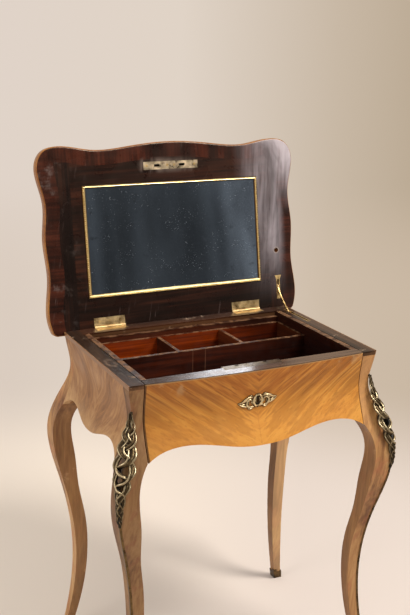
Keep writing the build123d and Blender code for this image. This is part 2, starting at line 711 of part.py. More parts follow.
def make_hinges(parts):
    case_screws = []
    lid_screws = []
    for side, name in ((-1, "left"), (1, "right")):
        place = Pos(side * HINGE_X, 0, 0)
        low_leaf = place * hinge_leaf(0, RAIL_TOP - HINGE_T, RAIL_TOP)
        top_leaf = place * hinge_leaf(1, LID_FACE_Z, LID_FACE_Z + HINGE_T)
        for whole, body in hinge_screws(side, RAIL_TOP, up=False):
            low_leaf -= whole
            case_screws.append(body)
        for whole, body in hinge_screws(side, LID_FACE_Z, up=True):
            top_leaf -= whole
            lid_screws.append(open_lid(body))
        parts["hinge_case_leaf_" + name] = low_leaf
        parts["hinge_lid_leaf_" + name] = open_lid(top_leaf)
        parts["hinge_pin_" + name] = place * rod_x(
            -HINGE_L / 2, HINGE_L / 2 - KNUCKLE_GAP, HINGE_LINE_Y, HINGE_LINE_Z, HINGE_PIN_R)
    return case_screws, lid_screws


# ---------------------------------------------------------------- lid
def lid_outline():
    """Half of the serpentine edge, as (x, distance in front of the hinge line)."""
    w, f = LID_HALF_W, LID_FRONT
    side_mid = (f - LID_REAR) / 2
    hollow = w - LID_SIDE_HOLLOW
    return [
        (w - 7, -LID_REAR + 7),
        (w, 30),
        (hollow + 0.8, 108),
        (w - LID_SIDE_LOBE, side_mid + 6),
        (hollow, 262),
        (w, f - 27),
        (w - 13, f - 10),
        (w - 37, f - LID_CORNER_SET),
        (w * 0.61, f - LID_FRONT_HOLLOW),
        (w * 0.3, f - LID_FRONT_HOLLOW * 0.52),
        (0, f),
    ]


def lid_face():
    """The plan of the lid, with a straight back edge and rounded corners."""
    right = [(x, HINGE_LINE_Y - v) for x, v in lid_outline()]
    left = [(-x, y) for x, y in reversed(right[:-1])]
    edge = Spline(*(right + left))
    back_y = HINGE_LINE_Y + LID_REAR
    inset = LID_HALF_W - 20
    start, end = edge @ 0, edge @ 1
    right_corner = ThreePointArc((inset, back_y), (start.X - 3.6, start.Y + 4.4), start)
    left_corner = ThreePointArc(end, (end.X + 3.6, end.Y + 4.4), (-inset, back_y))
    return closed_face(edge, left_corner, Line((-inset, back_y), (inset, back_y)), right_corner)


def make_lid(parts, lid_screws):
    panel = extrude(Pos(0, 0, LID_FACE_Z) * lid_face(), LID_T)
    top_edges = panel.faces().sort_by(Axis.Z)[-1].edges()
    panel = fillet(top_edges, LID_TOP_ROUND)
    low_edges = panel.faces().sort_by(Axis.Z)[0].edges()
    panel = fillet(low_edges, LID_LOW_ROUND)

    glass_z = LID_FACE_Z + MIRROR_SET
    backing_z = glass_z + MIRROR_T
    panel -= mirror_slab(LID_FACE_Z - 1, backing_z + BACKING_T)
    parts["mirror_glass"] = open_lid(mirror_slab(glass_z, backing_z))
    parts["mirror_backing"] = open_lid(mirror_slab(backing_z, backing_z + BACKING_T))
    make_mirror_fillets(parts)

    panel -= lid_hinge_room()
    hole = Pos(HALF_W - LID_HOLE_IN, HINGE_LINE_Y - LID_HOLE_V, LID_FACE_Z) * Cylinder(LID_HOLE_R, 2 * LID_HOLE_DEEP)
    panel -= hole

    strike, strike_screws = make_strike()
    panel -= strike_blank()
    bracket, bracket_screws = make_bracket()
    panel -= bracket_room()
    for whole, body in strike_screws + bracket_screws:
        panel -= whole
        strike -= whole
        bracket -= whole
        lid_screws.append(open_lid(body))
    parts["lid_panel"] = open_lid(panel)
    parts["strike_plate"] = open_lid(strike)
    parts["stay_bracket"] = open_lid(bracket)
    parts["lid_screws"] = Compound(lid_screws)


def mirror_slab(z0, z1):
    """A board of the mirror's size between two heights."""
    return box(-MIRROR_HALF_W, MIRROR_HALF_W, MIRROR_FRONT_Y, MIRROR_BACK_Y, z0, z1)


def make_mirror_fillets(parts):
    """Four mitred gilt strips that hold the mirror."""
    depth_z = LID_FACE_Z - FILLET_H
    x1, x0 = MIRROR_HALF_W + FILLET_OUT, MIRROR_HALF_W + FILLET_OUT - FILLET_W
    front1, front0 = MIRROR_FRONT_Y - FILLET_OUT, MIRROR_FRONT_Y - FILLET_OUT + FILLET_W
    back1, back0 = MIRROR_BACK_Y + FILLET_OUT, MIRROR_BACK_Y + FILLET_OUT - FILLET_W
    frames = {
        "top": [(-x1, front1), (x1, front1), (x0, front0), (-x0, front0)],
        "bottom": [(-x1, back1), (x1, back1), (x0, back0), (-x0, back0)],
        "left": [(-x1, front1), (-x1, back1), (-x0, back0), (-x0, front0)],
        "right": [(x1, front1), (x1, back1), (x0, back0), (x0, front0)],
    }
    for name, corners in frames.items():
        face = Pos(0, 0, depth_z) * Polygon(*corners, align=None)
        proud = extrude(face, FILLET_H, dir=(0, 0, 1))
        lip = extrude(face, FILLET_H + MIRROR_SET, dir=(0, 0, 1))
        lip = lip & mirror_slab(depth_z, LID_FACE_Z + MIRROR_SET)
        parts["mirror_fillet_" + name] = open_lid(proud + lip)


def strike_blank():
    """The strike plate without its holes, and the mortises for the hooks behind it."""
    plate = box(STRIKE_X - STRIKE_L / 2, STRIKE_X + STRIKE_L / 2, STRIKE_Y - STRIKE_W / 2,
                STRIKE_Y + STRIKE_W / 2, LID_FACE_Z, LID_FACE_Z + PLATE_T)
    return plate + strike_mortise(-1, deep=True) + strike_mortise(1, deep=True)


def strike_mortise(side, deep):
    """Room for a hook in the strike plate, or behind it."""
    half_t = HOOK_T / 2 + 2 * RUNNER_FIT
    reach_z = HOOK_Z + HOOK_OUT_R + 1.0
    x1 = HOOK_PIVOT + HOOK_OUT_R
    x0 = HOOK_PIVOT - 1.0 if deep else HOOK_PIVOT + 5.0
    z0 = LID_FACE_Z + PLATE_T if deep else LID_FACE_Z - 1
    z1 = reach_z if deep else LID_FACE_Z + 2 * PLATE_T
    lo, hi = sorted((LOCK_X + side * x0, LOCK_X + side * x1))
    return box(lo, hi, STRIKE_Y - half_t, STRIKE_Y + half_t, z0, z1)


def make_strike():
    """A flush plate with two slots that the hooks of the lock catch in."""
    plate = box(STRIKE_X - STRIKE_L / 2, STRIKE_X + STRIKE_L / 2, STRIKE_Y - STRIKE_W / 2,
                STRIKE_Y + STRIKE_W / 2, LID_FACE_Z, LID_FACE_Z + PLATE_T)
    for side in (-1, 1):
        plate -= strike_mortise(side, deep=False)
    inset = STRIKE_L / 2 - 7
    xs = (STRIKE_X - inset, STRIKE_X - 8, STRIKE_X + 8, STRIKE_X + inset)
    return plate, [screw(x, STRIKE_Y, LID_FACE_Z) for x in xs]


# ---------------------------------------------------------------- lid stay
def bracket_plate():
    """The flush plate on the lid that carries the stay, with a flared end."""
    half = STAY_PLATE_W / 2
    flare = BRACKET_FLARE / 2
    y0 = HINGE_LINE_Y - BRACKET_V1
    y1 = HINGE_LINE_Y - BRACKET_V0
    neck = y0 + 2 * half
    face = Polygon(
        (STAY_X - flare, y0), (STAY_X + flare, y0), (STAY_X + half, neck), (STAY_X + half, y1),
        (STAY_X - half, y1), (STAY_X - half, neck), align=None)
    return extrude(Pos(0, 0, LID_FACE_Z) * face, PLATE_T)


def bracket_slot(z0, z1, wall=0.0):
    """The slot that the stay swings in."""
    half = STAY_SLOT_W / 2 + wall
    return box(STAY_X - half, STAY_X + half, HINGE_LINE_Y - BRACKET_SLOT_V1,
               HINGE_LINE_Y - BRACKET_SLOT_V0, z0, z1)


def bracket_room():
    """What the bracket takes out of the lid."""
    return bracket_plate() + bracket_slot(LID_FACE_Z, STAY_PIVOT_Z + STAY_W, PLATE_T)


def make_bracket():
    bracket = bracket_plate()
    bracket += bracket_slot(LID_FACE_Z, STAY_PIVOT_Z + STAY_W, PLATE_T)
    bracket -= bracket_slot(LID_FACE_Z - 1, STAY_PIVOT_Z + STAY_W + 1)
    half = STAY_SLOT_W / 2 + PLATE_T
    bracket -= rod_x(STAY_X - half, STAY_X + half, STAY_PIVOT_Y, STAY_PIVOT_Z, STAY_PIN_R)
    y0 = HINGE_LINE_Y - BRACKET_V1 + 3.2
    y1 = HINGE_LINE_Y - BRACKET_V0 - 6
    return bracket, [screw(STAY_X, y0, LID_FACE_Z), screw(STAY_X, y1, LID_FACE_Z)]


def stay_pocket():
    """The slot in the right rim and panel that takes the stay as the lid comes down."""
    half = STAY_POCKET_W / 2
    return box(STAY_X - half, STAY_X + half, STAY_PLATE_FRONT_Y - 16, STAY_PLATE_BACK_Y + 3,
               STAY_POCKET_Z, RAIL_TOP - PLATE_T)


def stay_plate_blank():
    return box(STAY_X - STAY_PLATE_W / 2, STAY_X + STAY_PLATE_W / 2, STAY_PLATE_FRONT_Y, STAY_PLATE_BACK_Y,
               RAIL_TOP - PLATE_T, RAIL_TOP)


def make_stay(parts):
    plate = stay_plate_blank()
    half = STAY_SLOT_W / 2
    plate -= box(STAY_X - half, STAY_X + half, STAY_PLATE_FRONT_Y + STAY_SLOT_MARGIN,
                 STAY_PLATE_BACK_Y - STAY_SLOT_MARGIN, 0, REACH)
    parts["stay_slot_plate"] = plate

    pivot = open_lid(rod_x(STAY_X - 1, STAY_X + 1, STAY_PIVOT_Y, STAY_PIVOT_Z, 1)).center()
    turn = radians(180 + STAY_ANGLE)
    ahead = Vector(cos(turn), sin(turn))
    below = Vector(-ahead.Y, ahead.X)
    start = Vector(pivot.Y, pivot.Z)
    bend = start + ahead * STAY_BEND_AT + below * STAY_BEND
    end = start + ahead * STAY_L
    first = ThreePointArc(start, start + ahead * STAY_BEND_AT / 2 + below * STAY_BEND * 0.72, bend)
    second = TangentArc(bend, end, tangent=first % 1)
    face = SlotArc(first, STAY_W) + SlotArc(second, STAY_W)
    face += Pos(start.X, start.Y) * Circle(STAY_W / 2 + STAY_EYE)
    arm = Pos(STAY_X, 0, 0) * extrude(Plane.YZ * face, STAY_T / 2, both=True)
    arm -= rod_x(STAY_X - STAY_T, STAY_X + STAY_T, start.X, start.Y, STAY_PIN_R + PIN_FIT)
    end_pin = rod_x(STAY_X - STAY_END_L / 2, STAY_X + STAY_END_L / 2, end.X, end.Y, STAY_END_R)
    parts["stay_arm"] = arm - end_pin
    parts["stay_end_pin"] = end_pin
    reach = STAY_SLOT_W / 2 + PLATE_T
    parts["stay_pivot_pin"] = rod_x(STAY_X - reach, STAY_X + reach, start.X, start.Y, STAY_PIN_R)


# ---------------------------------------------------------------- the whole table
def make_table():
    parts = {}
    make_legs(parts)
    make_case(parts)
    make_drawer(parts)
    make_lock(parts)
    case_screws, lid_screws = make_hinges(parts)
    make_lid(parts, lid_screws)
    make_stay(parts)
    parts["hinge_screws"] = Compound(case_screws)
    return parts


def rest_shift():
    """Bring the middle of the open table's footprint to the origin."""
    lean = radians(LID_LEAN)
    along = LID_FRONT - LID_TOP_ROUND
    thick = LID_T + LID_GAP / 2 - LID_TOP_ROUND
    back = HINGE_LINE_Y + along * sin(lean) + thick * cos(lean) + LID_TOP_ROUND
    front = -(HALF_D + CHUTE_FACE_OUT)
    return Pos(0, -(back + front) / 2, 0)


def main():
    os.makedirs("parts", exist_ok=True)
    shift = rest_shift()
    for name, shape in make_table().items():
        export_step(shift * shape, "parts/" + name + ".step")
    print("shift along Y", round(shift.position.Y, 3))


main()
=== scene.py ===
# %% [markdown]
# # Dressing a poudreuse
# A poudreuse is a small dressing table. Its lid lifts to show a mirror, and the whole front
# is the face of a drawer with compartments for powder and brushes.
# The solids come from a CAD model, already at their real size. This lesson gives them their
# woods and metals, and replaces the few pieces whose beauty is in fine relief. A CAD piece that
# is only dressed keeps its mesh exactly.

# %% Load the frame
import math

import bpy
from mathutils import Matrix, Vector
from mathutils.bvhtree import BVHTree


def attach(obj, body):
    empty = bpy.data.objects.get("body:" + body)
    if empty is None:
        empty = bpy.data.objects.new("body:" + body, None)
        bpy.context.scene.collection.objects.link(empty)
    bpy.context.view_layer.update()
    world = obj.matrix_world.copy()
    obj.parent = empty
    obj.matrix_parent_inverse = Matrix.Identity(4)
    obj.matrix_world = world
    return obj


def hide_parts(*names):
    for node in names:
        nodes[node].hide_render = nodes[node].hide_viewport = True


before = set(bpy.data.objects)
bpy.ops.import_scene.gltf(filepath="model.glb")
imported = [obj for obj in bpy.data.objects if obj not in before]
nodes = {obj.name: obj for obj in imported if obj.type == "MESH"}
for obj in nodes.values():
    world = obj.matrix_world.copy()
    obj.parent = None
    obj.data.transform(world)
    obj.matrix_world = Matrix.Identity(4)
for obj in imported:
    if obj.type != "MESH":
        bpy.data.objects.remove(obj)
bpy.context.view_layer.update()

print("CAD nodes:", len(nodes))

# %% [markdown]
# ## Places that several steps need
# The CAD model stands with the middle of its footprint at the origin. The case itself sits a
# little further forward, because the open lid leans back. Every place below is in metres.

# %% Shared places
CASE_Y = -0.023317                     # middle of the case, front to back
HALF_W, HALF_D = 0.260, 0.1755         # half of the case over its top corners
RIM_Z = 0.690                          # top of the rim that the lid closes on
LID_LEAN = math.radians(9.2)
HINGE_LINE = Vector((0, CASE_Y + 0.177, RIM_Z + 0.0002))
LID_UP = Vector((0, math.sin(LID_LEAN), math.cos(LID_LEAN)))        # up along the open lid
LID_OUT = Vector((0, -math.cos(LID_LEAN), math.sin(LID_LEAN)))      # square to its mirror side
LOCK_X = -0.0045                       # the veneer's middle joint, over the lock
MM = 0.001
print("lid leans back", round(math.degrees(LID_LEAN), 1), "degrees")

# %% [markdown]
# ## A small set of node tools
# A procedural material is a graph of nodes. Wiring every socket by hand fills pages, so a node's
# output is wrapped in a small class, and sums are written as with plain numbers: every + or *
# adds one more node to the graph. A few helpers add the other kinds of node. A colour is written
# as the eye reads it on a screen, 0 to 255, and turned into the linear values that Blender uses.

# %% Fields
class Field:
    """A number, place, colour or shader that varies over a surface: one output of a node."""

    def __init__(self, socket):
        self.socket = socket
        self.node = socket.node
        self.tree = socket.id_data

    def __add__(self, other):
        return maths("ADD", self, other)

    def __radd__(self, other):
        return maths("ADD", other, self)

    def __sub__(self, other):
        return maths("SUBTRACT", self, other)

    def __rsub__(self, other):
        return maths("SUBTRACT", other, self)

    def __mul__(self, other):
        return maths("MULTIPLY", self, other)

    def __truediv__(self, other):
        return maths("DIVIDE", self, other)

    def __abs__(self):
        return maths("ABSOLUTE", self)


def tree_of(*values):
    """The graph that the fields among the values belong to."""
    return next(value.tree for value in values if isinstance(value, Field))


def put(tree, kind, inputs=(), output=0, **settings):
    """Add a node, set it, fill its inputs with plain values or fields, and return one output."""
    made = tree.nodes.new(kind)
    for name, value in settings.items():
        setattr(made, name, value)
    for key, value in dict(inputs).items():
        if isinstance(value, Field):
            tree.links.new(value.socket, made.inputs[key])
        else:
            made.inputs[key].default_value = value
    return Field(made.outputs[output]) if made.outputs else None


def maths(operation, *values):
    """One sum of plain numbers and fields."""
    return put(tree_of(*values), "ShaderNodeMath", enumerate(values), operation=operation)


print("fields can be added and multiplied")

# %% Node tools
def paint(red, green, blue):
    """A screen colour, 0 to 255, as linear light with full opacity."""
    def linear(c):
        c /= 255
        return c / 12.92 if c <= 0.04045 else ((c + 0.055) / 1.055) ** 2.4
    return (linear(red), linear(green), linear(blue), 1.0)


def vectors(operation, *values):
    """A vector operation; a dot product or a length gives a plain number."""
    output = 1 if operation in ("DOT_PRODUCT", "LENGTH") else 0
    return put(tree_of(*values), "ShaderNodeVectorMath", enumerate(values), output, operation=operation)


def scaled(vector, factor):
    """A vector made longer or shorter; it may be plain numbers when the factor is a field."""
    inputs = {0: vector, "Scale": factor}
    return put(tree_of(vector, factor), "ShaderNodeVectorMath", inputs, operation="SCALE")


def mix(factor, first, second, blend="MIX"):
    inputs = {0: factor, 6: first, 7: second}
    return put(tree_of(*inputs.values()), "ShaderNodeMix", inputs, 2, data_type="RGBA", blend_type=blend)


def ramp(factor, stops):
    """Colours by a number from 0 to 1."""
    made = put(factor.tree, "ShaderNodeValToRGB", {0: factor})
    band = made.node.color_ramp.elements
    while len(band) < len(stops):
        band.new(0.5)
    for element, (place, colour) in zip(band, stops):
        element.position = place
        element.color = colour
    return made


def noise(place, scale, detail=3.0, rough=0.55, twist=0.0):
    inputs = {"Vector": place, "Scale": scale, "Detail": detail, "Roughness": rough, "Distortion": twist}
    return put(place.tree, "ShaderNodeTexNoise", inputs, "Fac")


def step(value, low, high):
    """0 at low, 1 at high, and a soft slope between; low may be the larger of the two."""
    inputs = {"Value": value, "From Min": low, "From Max": high}
    return put(value.tree, "ShaderNodeMapRange", inputs, interpolation_type="SMOOTHSTEP")


def rescale(value, low, high, to_low, to_high):
    """Move the range from low to high onto another one, along a straight line."""
    inputs = {"Value": value, "From Min": low, "From Max": high, "To Min": to_low, "To Max": to_high}
    return put(value.tree, "ShaderNodeMapRange", inputs)


def place_of(tree):
    return put(tree, "ShaderNodeTexCoord", output="Object")


def parts_of(place):
    """The x, y and z of a place."""
    return [Field(socket) for socket in put(place.tree, "ShaderNodeSeparateXYZ", {0: place}).node.outputs]


def combine(*parts):
    """A place from its x, y and z; those left out are 0."""
    return put(tree_of(*parts), "ShaderNodeCombineXYZ", enumerate(parts))


print("node tools are ready")

# %% Start and finish of a material
def new_material(name, **constants):
    """A material with its shader's plain numbers set straight on the sockets, and a place to read."""
    material = bpy.data.materials.new(name)
    material.use_nodes = True
    sockets = material.node_tree.nodes["Principled BSDF"].inputs
    for key, value in constants.items():
        sockets[key.replace("_", " ").title().replace("Ior", "IOR")].default_value = value
    return material, place_of(material.node_tree)


def finish_material(material, colour, rough, height=None, strength=0.2, depth=0.5 * MM, metallic=None):
    """Wire colour, roughness and relief into the shader, and hand the material back."""
    tree = material.node_tree
    wires = {"Base Color": colour, "Roughness": rough, "Metallic": metallic}
    if height is not None:
        relief = {"Strength": strength, "Distance": depth, "Height": height}
        wires["Normal"] = put(tree, "ShaderNodeBump", relief)
    for name, field in wires.items():
        if field is not None:
            tree.links.new(field.socket, tree.nodes["Principled BSDF"].inputs[name])
    return material


def dress(material, *names):
    """Give CAD nodes a material; their meshes stay as they are."""
    for name in names:
        slots = nodes[name].data.materials
        slots.clear()
        slots.append(material)


print("materials can be started, finished and given out")

# %% [markdown]
# ## Wood
# Grain is a streak: much longer than it is wide. Squeezing the coordinates along the grain
# before they enter a noise texture stretches its blots into streaks. Three sizes of streak,
# broad figure, fibre and pores, mixed through one band of colours, read as real timber.
# The same recipe serves every board; only the direction, the tones and the polish change.

# %% Wood recipe
ACROSS, ALONG = (1, 0, 0), (0, 1, 0)   # ways the grain runs: from side to side, or front to back


def squeeze(place, direction, keep):
    """Shorten a place along a direction, to keep of its length there."""
    along = scaled(direction, vectors("DOT_PRODUCT", place, direction))
    return vectors("SUBTRACT", place, scaled(along, 1 - keep))


def grain(place, direction, tones, figure=11.0, wild=0.5, contrast=1.0):
    """Colour, and a height for its relief, of wood whose fibres run along a direction."""
    direction = tuple(Vector(direction).normalized())
    broad = noise(squeeze(place, direction, 0.14), figure, 3.0, 0.5, wild)
    fibre = noise(squeeze(place, direction, 0.035), 170.0, 4.0, 0.6, 0.3)
    pores = noise(squeeze(place, direction, 0.02), 1100.0, 2.0, 0.6)
    spread = 0.17 / contrast
    level = step(broad * 0.62 + fibre * 0.38, 0.5 - spread, 0.5 + spread)
    colour = ramp(level, [(i / (len(tones) - 1), tone) for i, tone in enumerate(tones)])
    dark = step(pores, 0.62, 0.74)
    return mix(dark * 0.34, colour, tones[0]), fibre - dark


def book_match(place, middle, axis=0):
    """The place with one coordinate replaced by its distance from a middle line."""
    values = parts_of(place)
    values[axis] = abs(values[axis] - middle)
    return combine(*values)


print("wood recipe is ready")

# %% [markdown]
# ## The drawer front
# The veneer was laid in two halves, book-matched like an open book, so that its stripes meet in
# a V over the keyhole. Taking the distance from the middle line instead of x gives the match
# for free: both halves read the same grain. The light has bleached the rosewood to honey, and the
# front is lighter still towards the bottom; painted shade darkens its left, away from the lamp, and
# the gap at its left end. The bare top edge shows the darker wood of the board.

# %% Drawer front veneer
WARM_GLOSS = (1.0, 0.78, 0.62, 1.0)    # old polish has yellowed, so it reflects warmer than it is lit
HONEY = [paint(118, 62, 18), paint(154, 92, 32), paint(180, 118, 47), paint(194, 138, 62)]
BARE_EDGE = [paint(36, 22, 15), paint(64, 44, 32), paint(96, 72, 54)]
FRONT_GRAIN = (0.8, 0, 0.6)
DRAWER_LEFT = -0.226                   # the drawer front's left end


def front_figure(place):
    """Slanting stripes, fine lines and fibres, matched over the keyhole."""
    matched = book_match(place, LOCK_X)
    colour, height = grain(matched, FRONT_GRAIN, HONEY, 10.0, 0.7)
    stripes = noise(squeeze(matched, FRONT_GRAIN, 0.04), 46.0, 3.0, 0.6)
    colour = mix(step(stripes, 0.52, 0.6) * 0.6, colour, paint(126, 74, 28))
    lines = noise(squeeze(matched, FRONT_GRAIN, 0.02), 330.0, 2.0, 0.5)
    return mix(step(lines, 0.56, 0.66) * 0.42, colour, paint(96, 52, 18)), height


def front_wear(colour, place, x, below):
    """The lighter lower part, painted shade on the left, the rubbed upper edge, the seam over the lock and
    painted shadow in the gap at the left end.
    """
    belly = step(below + noise(place, 9.0, 2.0) * 0.05, 0.0, -0.1)
    colour = mix(belly * 0.45, colour, paint(204, 142, 58))
    # Painted shade: the front darkens towards the left, away from the lamp.
    colour = mix(step(x, 0.05, -0.22) * 0.3, colour, paint(110, 66, 28))
    worn = step(noise(place, 17.0, 4.0, 0.65), 0.6, 0.72)
    worn_right = step(x, 0.1, 0.19) * step(noise(place, 23.0, 4.0, 0.65), 0.44, 0.62)
    worn = maths("MINIMUM", worn + worn_right, 1.0)
    colour = mix(worn * step(below, -0.045, -0.005) * 0.6, colour, paint(170, 142, 104))
    seam = step(abs(x - LOCK_X), 1.2 * MM, 0.4 * MM)
    colour = mix(seam * 0.15, colour, paint(96, 56, 28))
    # Painted shadow: a dark band at the front's left end stands for the shade in the gap beside it.
    return mix(step(x, DRAWER_LEFT + 0.8 * MM, DRAWER_LEFT) * 0.8, colour, paint(44, 24, 16))


def front_veneer():
    material, place = new_material("bleached rosewood front", coat_weight=0.04, coat_roughness=0.22,
                                   specular_ior_level=0.38, specular_tint=WARM_GLOSS)
    x, _, z = parts_of(place)
    below = z - RIM_Z
    colour, height = front_figure(place)
    colour = front_wear(colour, place, x, below)
    top, _ = grain(place, ACROSS, BARE_EDGE, 14.0)
    strip = step(below, -2.2 * MM, -1.6 * MM)
    colour = mix(strip, colour, top)
    lip = step(below, -3.5 * MM, -2.8 * MM) * step(below, -1.0 * MM, -1.6 * MM)
    colour = mix(lip * 0.6, colour, paint(176, 142, 98))
    rough = step(noise(place, 30.0, 3.0), -0.9, 2.2) * (1.0 - strip * 0.55)
    return finish_material(material, colour, rough, height, 0.1)


dress(front_veneer(), "drawer_front")
print("dressed the drawer front")

# %% [markdown]
# ## The case panels
# The panels at the sides and the back carry the same veneer, but here the halves were laid so
# that the figure fans out from the bottom like a butterfly. The sides are paler and greyer than
# the front, as they stood in the light of a window.

# %% Panel veneer
DUSTY = [paint(106, 70, 42), paint(142, 100, 62), paint(168, 128, 84), paint(188, 150, 106)]
BROWN = [paint(96, 58, 34), paint(128, 82, 50), paint(150, 104, 66)]


def panel_veneer(name, axis, middle, tones, pale):
    material, place = new_material(name, coat_weight=0.1, coat_roughness=0.28, specular_ior_level=0.3)
    bend = noise(place, 6.0, 1.0)
    direction, sway = [0, 0, 0.86], [0.0, 0.0, 0.0]
    direction[axis] = 0.5
    sway[axis] = bend * 0.09
    swirl = vectors("ADD", book_match(place, middle, axis), combine(*sway))
    colour, height = grain(swirl, direction, tones, 12.0, 0.7, 0.7)
    low = step(parts_of(place)[2] + bend * 0.06, RIM_Z - 0.06, RIM_Z - 0.13)
    colour = mix(low * 0.45, colour, pale)
    rough = step(noise(place, 26.0, 3.0), -1.0, 2.0)
    return finish_material(material, colour, rough, height, 0.12)


side_veneer = panel_veneer("faded side veneer", 1, CASE_Y, DUSTY, paint(196, 160, 114))
dress(side_veneer, "side_panel_left", "side_panel_right")
dress(panel_veneer("back veneer", 0, 0.0, BROWN, paint(160, 116, 76)), "back_panel")
print("dressed three panels")

# %% [markdown]
# ## The legs
# Each leg is cut from one post and veneered on its outer faces. The grain follows the leg, and
# the inner faces are painted a darker brown, as painted shade; the back right leg's face that
# looks forward, toward the lamp, is painted lighter instead. A face's normal tells which way
# it looks, so one material can treat the two kinds apart.

# %% Leg wood
TAWNY = [paint(104, 66, 36), paint(138, 96, 56), paint(168, 124, 76), paint(188, 146, 96)]
# Painted shade: darker wood for the legs' inner faces.
UMBER_SHADE = [paint(82, 52, 27), paint(120, 82, 46), paint(150, 108, 62)]


def leg_outside(place, x, z, faces_front):
    """The leg's own veneer, with the drawer's honey tones and painted light on the right post beside it."""
    colour, height = grain(place, (0.12, 0.1, 1), TAWNY, 16.0, 0.9)
    flame = noise(squeeze(place, (0.55, 0.3, 0.8), 0.2), 55.0, 2.0)
    colour = mix(step(flame, 0.5, 0.68) * 0.4, colour, paint(160, 94, 62))
    right_post = step(x, 0.0, 0.01) * step(z, RIM_Z - 0.18, RIM_Z - 0.1) * faces_front
    honey, _ = grain(place, FRONT_GRAIN, HONEY, 12.0, 0.6)
    colour = mix(right_post * 0.5, colour, honey)
    # Painted light: the right post's front is lightened, as it stands nearest the lamp.
    return mix(right_post * 0.25, colour, paint(220, 176, 120)), height


def leg_inside(colour, place, x, y, facing, faces_front):
    """Painted shade on the inner faces; the back right leg's face that looks forward gets painted light
    instead.
    """
    inner, _ = grain(place, (0, 0, 1), UMBER_SHADE, 14.0)
    outward = combine(maths("SIGN", x), maths("SIGN", y - CASE_Y))
    # Painted shade: faces turned inward get the darker wood.
    shaded_inner = step(vectors("DOT_PRODUCT", facing, outward), 0.0, -0.3)
    pale = faces_front * step(y, 0.0, 0.1) * step(x, -0.1, 0.1)
    colour = mix((shaded_inner - pale * shaded_inner) * 0.75, colour, inner)
    # Painted light: the back right leg's forward face is lightened where the lamp reaches it.
    return mix(pale * 0.3, colour, paint(218, 184, 138))


def leg_wood():
    material, place = new_material("veneered leg", coat_weight=0.1, coat_roughness=0.25,
                                   specular_ior_level=0.3)
    x, y, z = parts_of(place)
    facing = put(place.tree, "ShaderNodeNewGeometry", output="True Normal")
    faces_front = step(parts_of(facing)[1], -0.5, -0.8)
    front_row = step(y, 0.0, -0.1)
    colour, height = leg_outside(place, x, z, faces_front)
    shin_right = step(x, 0.1, 0.2) * step(z, 0.45, 0.38) * front_row
    colour = mix(shin_right, colour, paint(233, 229, 226), "MULTIPLY")
    colour = leg_inside(colour, place, x, y, facing, faces_front)
    worn = step(noise(place, 24.0, 4.0, 0.7), 0.62, 0.74)
    colour = mix(worn * 0.3, colour, paint(206, 168, 122))
    # Painted shade: the front left leg is darkened and greyed, as the lamp reaches it least.
    front_left = step(x, -0.1, -0.2) * front_row
    colour = mix(front_left * 0.75, colour, paint(150, 142, 138), "MULTIPLY")
    rough = step(noise(place, 30.0, 3.0), -1.0, 2.1)
    return finish_material(material, colour, rough, height, 0.12)


legs = [name for name in nodes if name.startswith("leg_")]
dress(leg_wood(), *legs)
print("dressed", len(legs), "legs")

# %% [markdown]
# ## The rim
# The boards that the lid closes on are dark and dull on top, rubbed by years of fingers and
# rings. A thin light line runs down the outer edge, where the side veneer ends.

# %% Rim wood
RIM_TONES = [paint(24, 13, 8), paint(48, 30, 19), paint(80, 54, 36)]
BACK_RIM_TONES = [paint(24, 11, 6), paint(46, 24, 14), paint(72, 42, 26)]
RING_X, RING_Y = -HALF_W + 0.017, CASE_Y - 0.045     # a glass has stood here


def rim_wood(name, direction, tones):
    material, place = new_material(name, specular_ior_level=0.25, specular_tint=WARM_GLOSS)
    x, y, z = parts_of(place)
    colour, height = grain(place, direction, tones, 16.0, 0.6)
    scuff = step(noise(place, 34.0, 5.0, 0.7), 0.6, 0.7)
    colour = mix(scuff * 0.55, colour, paint(170, 146, 124))
    low = step(z, RIM_Z - 2.5 * MM, RIM_Z - 3.5 * MM) * 0.25
    edge = maths("MAXIMUM", step(abs(x) - HALF_W, -2.2 * MM, -1.4 * MM), low)
    colour = mix(edge * 0.7, colour, paint(140, 100, 66))
    ring = vectors("LENGTH", combine(x - RING_X, (y - RING_Y) * 0.45))
    ring = step(abs(ring - 8.0 * MM), 4.5 * MM, 0.5 * MM) * step(noise(place, 90.0, 3.0), 0.35, 0.65)
    colour = mix(ring * 0.4, colour, paint(150, 126, 104))
    return finish_material(material, colour, step(scuff, -1.2, 2.2), height, 0.12)


dress(rim_wood("side rim", ALONG, RIM_TONES), "rim_left", "rim_right")
dress(rim_wood("back rim", ACROSS, BACK_RIM_TONES), "rim_back")
print("dressed the rim")

# %% [markdown]
# ## Inside the drawer
# The fittings are mahogany, a deep red orange that the air has not bleached. Only the top
# edges, which hands touch, are worn pale. How far a place lies below the rim tells the two
# apart, so one recipe serves all boards, whatever their height.

# %% Drawer mahogany
MAHOGANY = [paint(70, 20, 2), paint(126, 46, 3), paint(166, 74, 10)]
# Browner wood for the drawer's back, and painted shade for the partitions and the right lining.
BROWN_AND_SHADED_MAHOGANY = [paint(40, 15, 6), paint(76, 31, 10), paint(106, 50, 20)]
# Darker wood for the long partition, and painted shade for the drawer's sides.
DARK_AND_SHADED_MAHOGANY = [paint(22, 7, 4), paint(44, 15, 7), paint(70, 28, 12)]
FITTING_DROP, BACK_DROP = 0.020, 0.009  # how far the fittings and the drawer's back lie below the rim
NO_EDGE = -0.100                       # a drop that puts the worn edge above every board
SCORES_X = (-0.0436, -0.0158)


